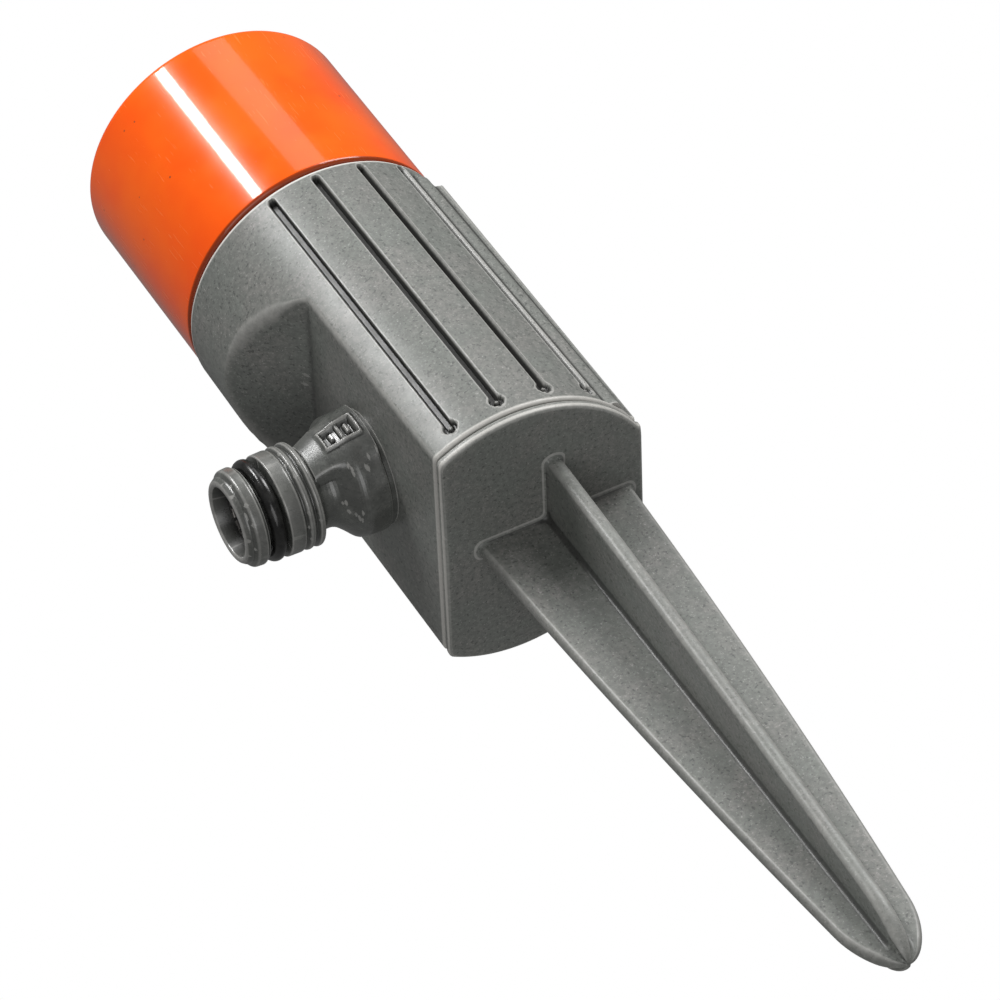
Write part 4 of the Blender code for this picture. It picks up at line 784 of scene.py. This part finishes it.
def plug_in(shader, **wires):
    """Link wires to the shader's sockets."""
    for socket, wire in wires.items():
        wire.tree.links.new(wire.socket, shader.inputs[socket.replace("_", " ")])


def flat_colour(red, green, blue):
    """An opaque colour, in linear light."""
    return (red, green, blue, 1.0)


operators = [name for name in vars(Wire) if name.endswith(("add__", "sub__", "mul__"))]
print("a wire understands", len(operators), "operators")


# %% [markdown]
# ## Grey plastic
# The body is a filled plastic, moulded in grey. Pale and dark specks of filler lie in it, a third to half
# a millimetre across, and its skin has a faint grain that breaks up the highlights. Larger cloudy patches
# are slightly greener. Convex edges are paler, partly as wear and partly as a painted highlight, and hollows
# get painted shade: a mesh this fine lets the Geometry node's Pointiness find them. Painted highlight lines
# run along the rim, the foot and the plate's edge. Painted shade darkens the grooves and the nipple's bore
# where a value kept on the mesh says so.

# %% Name the greys
GREY_GREEN = flat_colour(0.195, 0.208, 0.190)
GREY_WARM = flat_colour(0.228, 0.223, 0.210)
GREY_DARK = flat_colour(0.140, 0.146, 0.136)
GREY_PALE_FLECK_AND_HIGHLIGHT = flat_colour(0.420, 0.415, 0.395)
GREY_SPECK = flat_colour(0.060, 0.064, 0.060)
GREY_NIPPLE_SHADE = flat_colour(0.050, 0.052, 0.048)
GREY_PAINTED_HIGHLIGHT = flat_colour(0.720, 0.700, 0.660)
GREY_PAINTED_SHADE = flat_colour(0.012, 0.012, 0.011)
# Painted highlight: EDGE_RIM and EDGE_FADE place the pale line just below the rim.
EDGE_RIM = 0.60 * mm            # how far down from the rim the pale line reaches at full strength
EDGE_FADE = 0.35 * mm           # and how far it takes to fade below that
# The colour of the painted highlight lines along the rim, the foot and the plate's edge.
print("the pale worn edge is", GREY_PAINTED_HIGHLIGHT[:3])


# %% Make the grey plastic
def grey_plastic(name, painted_light_and_shade=True, shade_and_gloss=0.0):
    """Grey, mottled, with specks; roughness and bump follow the same grain. The nipple's copy is painted
    darker, as shade, and shines. Places on the object tell where the painted highlight lines along the rim,
    the foot and the plate are."""
    made, shader, place = fresh_material(name, Specular_IOR_Level=0.45 + 0.3 * shade_and_gloss)
    grain = place.noise(0.35 * mm, 2.0, 0.7)
    flecks = place.noise(0.9 * mm, 3.0, 0.6)
    clouds = place.noise(9 * mm, 4.0, 0.6)
    cloudy = clouds.step(0.35, 0.65).choose(GREY_GREEN, GREY_WARM)
    mottled = (flecks.step(0.38, 0.66) * 0.55 + grain.step(0.35, 0.7) * 0.45).choose(GREY_DARK, cloudy)
    pale = (grain.step(0.62, 0.72) * 0.6).choose(mottled, GREY_PALE_FLECK_AND_HIGHLIGHT)
    colour = (place.noise(0.55 * mm, 1.0, 0.5).step(0.38, 0.30) * 0.65).choose(pale, GREY_SPECK)
    # Painted shade: the nipple's copy is darkened in patches, and is also glossier.
    if shade_and_gloss:
        nipple_shade_patches = place.noise(3.0 * mm, 2.0, 0.5).step(0.25, 0.6, 0.45, 0.8)
        colour = (nipple_shade_patches * shade_and_gloss).choose(colour, GREY_NIPPLE_SHADE)
    if painted_light_and_shade:
        level = place.node("ShaderNodeSeparateXYZ", {}, {0: place}, output=2)
        # Painted highlight: a pale line just below the rim.
        rim = level.step(RIM - EDGE_RIM - EDGE_FADE, RIM - EDGE_RIM)
        # Pointiness: painted shade darkens hollows, and convex edges are paler, as wear and as painted
        # highlight.
        bend = place.node("ShaderNodeNewGeometry", output=7)
        hollow = bend.step(0.494, 0.476)
        edge_wear_and_highlight = bend.step(0.506, 0.530)
        colour = (hollow * 0.8).choose(colour, GREY_PAINTED_SHADE)
        colour = (edge_wear_and_highlight * (0.3 + 0.5 * flecks)).choose(colour, GREY_PALE_FLECK_AND_HIGHLIGHT)
        colour = (rim * 0.85).choose(colour, GREY_PAINTED_HIGHLIGHT)
        # Painted highlight: pale lines along the body's foot and the plate's rounded edge.
        foot_highlight = level.step(FOOT + 0.9 * mm, FOOT + 0.5 * mm)
        foot_highlight = foot_highlight * level.step(FOOT - 0.1 * mm, FOOT + 0.1 * mm)
        plate_highlight = level.step(0.15 * mm, 0.35 * mm) * level.step(0.95 * mm, 0.7 * mm)
        colour = ((foot_highlight + plate_highlight) * 0.5).choose(colour, GREY_PAINTED_HIGHLIGHT)
        # Painted shade in the grooves and the nipple's bore, read from the mesh.
        painted_shade = place.node("ShaderNodeAttribute", {"attribute_name": "painted_shade"}, output=2)
        colour = (painted_shade * 0.93).choose(colour, GREY_PAINTED_SHADE)
    dusty = place.noise(4 * mm, 3.0, 0.6)
    rough = dusty.step(0.3, 0.7, 0.34 - 0.12 * shade_and_gloss, 0.40 - 0.10 * shade_and_gloss) + grain * 0.06
    plug_in(shader, Base_Color=colour, Roughness=rough,
            Normal=(grain * 0.6 + flecks * 0.4).bump(0.28, 0.05 * mm))
    return made


grey = grey_plastic("speckled_grey_plastic")
# The nipple's grey: a darker copy, as painted shade, that shines more.
shaded_nipple_grey = grey_plastic("shaded_glossy_grey_plastic", shade_and_gloss=1.0)
plain_grey = grey_plastic("speckled_grey_plastic_inside", painted_light_and_shade=False)
print(grey.name, "is made of", len(grey.node_tree.nodes), "nodes")

# %% [markdown]
# ## Orange plastic
# The head is glossy: a clear coat over saturated orange gives the sharp, bright reflections. The slightest
# wave in the surface keeps them from being ruler-straight, and hairline scuffs and a few dark specks of dirt
# show that it has been used. The flat lid is matt.

# %% Name the oranges
ORANGE = flat_colour(0.980, 0.125, 0.001)
ORANGE_DEEP = flat_colour(0.940, 0.090, 0.001)
ORANGE_SCUFF = flat_colour(0.950, 0.300, 0.080)
ORANGE_DIRT_AND_SHADE = flat_colour(0.120, 0.020, 0.005)
GLOSS_COAT = 0.5
print("the head's colour is", ORANGE[:3])


# %% Make the orange plastic
def orange_plastic(name):
    """Saturated orange; patches are slightly deeper, scuffs raise the roughness, specks darken it.
    The flat lid on top is matt, without the gloss coat of the wall."""
    made, shader, place = fresh_material(name, Coat_Roughness=0.06, Specular_IOR_Level=0.2)
    patches = place.noise(14 * mm, 3.0, 0.5)
    colour = patches.step(0.3, 0.7).choose(ORANGE_DEEP, ORANGE)
    stretched = place.node("ShaderNodeMapping", {}, {"Vector": place, "Rotation": (0.3, 0.2, 0.5),
                                                     "Scale": (1.0, 1.0, 0.08)})
    hairline = stretched.noise(0.35 * mm, 2.0, 0.5).step(0.63, 0.70)
    scuffed = hairline * place.noise(6 * mm, 2.0, 0.5).step(0.5, 0.62)
    colour = (scuffed * 0.25).choose(colour, ORANGE_SCUFF)
    cells = place.node("ShaderNodeTexVoronoi", {"feature": "F1"},
                       {"Vector": place, "Scale": 1.0 / (2.6 * mm)})
    sparse = place.noise(5 * mm, 1.0, 0.5).step(0.56, 0.62)
    speck = cells.step(0.10, 0.06) * sparse
    colour = (speck * 0.75).choose(colour, ORANGE_DIRT_AND_SHADE)
    level = place.node("ShaderNodeSeparateXYZ", {}, {0: place}, output=2)
    # Painted shade: the head's lower edge is darkened where it meets the collar; the specks above are dirt.
    lip = level.step(head_low.z + 0.75 * mm, head_low.z + 0.4 * mm)
    colour = (lip * 0.8).choose(colour, ORANGE_DIRT_AND_SHADE)
    lid = level.step(head_high.z - 0.5 * mm, head_high.z - 0.2 * mm)
    rough = patches.step(0.3, 0.7, 0.20, 0.27) + scuffed * 0.2 + speck * 0.3 + lid * 0.35
    wave = place.noise(7 * mm, 2.0, 0.5) + place.noise(1.2 * mm, 2.0, 0.5) * 0.06
    plug_in(shader, Base_Color=colour, Roughness=rough, Coat_Weight=GLOSS_COAT - lid * GLOSS_COAT,
            Normal=wave.bump(0.12, 0.12 * mm))
    return made


orange = orange_plastic("glossy_orange_plastic")
print(orange.name, "is made of", len(orange.node_tree.nodes), "nodes")

# %% [markdown]
# ## Rubber, steel and the inner plastics
# The O-ring is greased black rubber. The strainer is pressed from steel with fine holes, which its own
# material draws as dark dots on a grid. The pieces inside are white and black mouldings.


# %% Make the small materials
HOLE_PITCH = 0.9 * mm


def rubber(name):
    """Black, with a greasy and a dull share."""
    made, shader, place = fresh_material(name, Specular_IOR_Level=0.5)
    greasy = place.noise(1.5 * mm, 3.0, 0.6)
    plug_in(shader, Base_Color=greasy.step(0.3, 0.7).choose(flat_colour(0.006, 0.006, 0.006),
                                                            flat_colour(0.016, 0.016, 0.015)),
            Roughness=greasy.step(0.3, 0.7, 0.16, 0.34), Normal=greasy.bump(0.15, 0.03 * mm))
    return made


def moulded(name, dark, light, roughness):
    """A plain moulding: two close tones in soft patches, and a fine grain."""
    made, shader, place = fresh_material(name)
    patches = place.noise(3 * mm, 4.0, 0.6)
    grain = place.noise(0.3 * mm, 2.0, 0.6)
    plug_in(shader, Base_Color=patches.step(0.3, 0.7).choose(dark, light),
            Roughness=patches.step(0.3, 0.7, roughness - 0.06, roughness + 0.06),
            Normal=grain.bump(0.15, 0.02 * mm))
    return made


def plain_steel(name):
    """Drawn steel: fine streaks along Z change its tone and roughness."""
    made, shader, place = fresh_material(name, Metallic=1.0)
    long = place.node("ShaderNodeMapping", {}, {"Vector": place, "Scale": (1.0, 1.0, 0.05)})
    streaks = long.noise(0.1 * mm, 3.0, 0.6)
    plug_in(shader, Base_Color=streaks.step(0.3, 0.7).choose(flat_colour(0.48, 0.48, 0.47),
                                                             flat_colour(0.66, 0.66, 0.65)),
            Roughness=streaks.step(0.3, 0.7, 0.24, 0.4), Normal=streaks.bump(0.1, 0.01 * mm))
    return made


def pierced_steel(name):
    """Steel with dark holes: two crossed sine waves in Y and Z, and where both are high there is a hole."""
    made, shader, place = fresh_material(name)
    split = place.tree.nodes.new("ShaderNodeSeparateXYZ")
    place.tree.links.new(place.socket, split.inputs[0])
    waves = 2 * math.pi / HOLE_PITCH
    across = Wire(place.tree, split.outputs[1]) * waves
    up = Wire(place.tree, split.outputs[2]) * waves
    sine = across.node("ShaderNodeMath", {"operation": "SINE"}, {0: across})
    other = up.node("ShaderNodeMath", {"operation": "SINE"}, {0: up})
    hole = (sine + other).step(0.1, 0.7)
    # Painted shade: the steel between the holes is painted dark, for the shade inside the bore.
    plug_in(shader, Base_Color=hole.choose(flat_colour(0.20, 0.19, 0.18), flat_colour(0.01, 0.01, 0.01)),
            Roughness=hole * 0.4 + 0.35, Metallic=0.8 - hole * 0.8)
    return made


black_rubber = rubber("greased_black_rubber")
white_plastic = moulded("white_moulding", flat_colour(0.70, 0.70, 0.66), flat_colour(0.80, 0.80, 0.76),
                        roughness=0.42)
black_plastic = moulded("black_moulding", flat_colour(0.016, 0.016, 0.017), flat_colour(0.035, 0.035, 0.034),
                        roughness=0.42)
steel = plain_steel("drawn_steel")
mesh_steel = pierced_steel("pierced_steel")
print(len(bpy.data.materials), "materials so far")

# %% Put the materials on the new pieces and on the designed nodes that stay
slot_material = {"grey_plastic": plain_grey, "orange_plastic": orange, "black_rubber": black_rubber,
                 "white_plastic": white_plastic, "black_plastic": black_plastic, "steel": steel,
                 "strainer_steel": mesh_steel}


def dress(piece, material):
    """One material on the whole piece."""
    piece.data.materials.clear()
    piece.data.materials.append(material)


for piece in (body_shell, end_plate, spike):
    dress(piece, grey)
dress(hose_nipple, shaded_nipple_grey)
for piece, material in ((o_ring, black_rubber), (strainer, mesh_steel), (head, orange), (plug, orange),
                        (head_screw, steel), (flow_screw, steel), (insert, black_plastic)):
    dress(piece, material)
subparts = frame["record"]["subparts"]
for entry in subparts:
    dress(frame["nodes"][entry["node"]], slot_material[entry["material_slot"]])
print(f"{len(subparts)} designed nodes dressed")

# %% [markdown]
# ## Floor, light and camera
# The sprinkler is shown from a little below, so the floor under it must not hide it: its material is
# clear where it is seen from underneath. One tall, narrow softbox from the upper left draws the white
# strip down the head. A broad one low on the right lights the grooved arch, a dim one above it lays a
# soft sheen on the head's right side, and a large weak one below fills the end face. The room is white to
# the camera, but gives the object only a little light.

# %% Lay the floor
pale = bpy.data.materials.new("pale_floor")
pale.use_nodes = True
tree = pale.node_tree
plain = tree.nodes["Principled BSDF"]
plain.inputs["Base Color"].default_value = (0.9, 0.9, 0.9, 1.0)
plain.inputs["Roughness"].default_value = 0.9
clear = tree.nodes.new("ShaderNodeBsdfTransparent")
sided = tree.nodes.new("ShaderNodeMixShader")
geometry = tree.nodes.new("ShaderNodeNewGeometry")
tree.links.new(geometry.outputs["Backfacing"], sided.inputs[0])
tree.links.new(plain.outputs[0], sided.inputs[1])
tree.links.new(clear.outputs[0], sided.inputs[2])
tree.links.new(sided.outputs[0], tree.nodes["Material Output"].inputs["Surface"])
FLOOR_HALF = 3.0
FLOOR_Z = SPIKE_END - 1.0 * mm
corners = [(x * FLOOR_HALF, y * FLOOR_HALF, FLOOR_Z) for x, y in ((-1, -1), (1, -1), (1, 1), (-1, 1))]
floor_mesh = bpy.data.meshes.new("floor")
floor_mesh.from_pydata(corners, [], [(0, 1, 2, 3)])
floor = bpy.data.objects.new("floor", floor_mesh)
floor.data.materials.append(pale)
floor.visible_shadow = False
floor.visible_diffuse = False
floor.visible_glossy = False
bpy.context.scene.collection.objects.link(floor)
print(f"floor at {1000 * FLOOR_Z:.0f} mm")


# %% Light it
def softbox(name, direction, distance, size, power, aim=(0.0, 0.0, 0.01)):
    """A rectangular area light at a distance from a point, facing it; hidden from the camera."""
    data = bpy.data.lights.new(name, "AREA")
    data.shape = "RECTANGLE"
    data.size, data.size_y = size
    data.energy = power
    lamp = bpy.data.objects.new(name, data)
    way = Vector(direction).normalized()
    lamp.location = Vector(aim) + way * distance
    lamp.rotation_euler = way.to_track_quat("Z", "Y").to_euler()
    lamp.visible_camera = False
    bpy.context.scene.collection.objects.link(lamp)
    return lamp


lamps = [
    softbox("strip_softbox", (-0.30, -0.72, 0.63), 1.0, (0.11, 0.55), 8.0),
    softbox("broad_softbox", (0.62, -0.75, 0.20), 1.4, (0.7, 0.5), 13.0),
    softbox("sheen_softbox", (0.32, -0.70, 0.63), 1.2, (0.40, 0.60), 1.4),
    softbox("low_fill", (-0.35, -0.45, -0.9), 1.6, (1.0, 1.0), 8.0),
]
print(len(lamps), "softboxes of", [lamp.data.energy for lamp in lamps], "watts")

# %% Make the white room
ROOM_LEVEL = 0.20
world = bpy.data.worlds.new("white_room")
world.use_nodes = True
bpy.context.scene.world = world
room = world.node_tree
background = room.nodes["Background"]
background.inputs["Color"].default_value = (1.0, 1.0, 1.0, 1.0)
bpy.context.scene.view_settings.view_transform = "Standard"
light_path = room.nodes.new("ShaderNodeLightPath")
strength = room.nodes.new("ShaderNodeMapRange")
strength.inputs["To Min"].default_value = ROOM_LEVEL
strength.inputs["To Max"].default_value = 1.0
room.links.new(light_path.outputs["Is Camera Ray"], strength.inputs["Value"])
room.links.new(strength.outputs[0], background.inputs["Strength"])
print("the room lights the object at", ROOM_LEVEL, "of what the camera sees")

# %% Set the camera
camera_data = bpy.data.cameras.new("camera")
camera_data.lens = 216.0
camera_data.sensor_width = 36.0
camera_data.clip_end = 20.0
camera = bpy.data.objects.new("camera", camera_data)
eye = Vector((-0.2885, -0.6325, -0.5650))
looks_at = Vector((-0.0010, -0.0037, 0.0046))
up_hint = Vector((0.356, -0.712, 0.606))
forward = (looks_at - eye).normalized()
right = forward.cross(up_hint).normalized()
upward = right.cross(forward)
turned = Matrix((right, upward, -forward)).transposed().to_4x4()
camera.matrix_world = Matrix.Translation(eye) @ turned
bpy.context.scene.collection.objects.link(camera)
bpy.context.scene.camera = camera
print(f"camera {1000 * eye.length:.0f} mm from the origin")
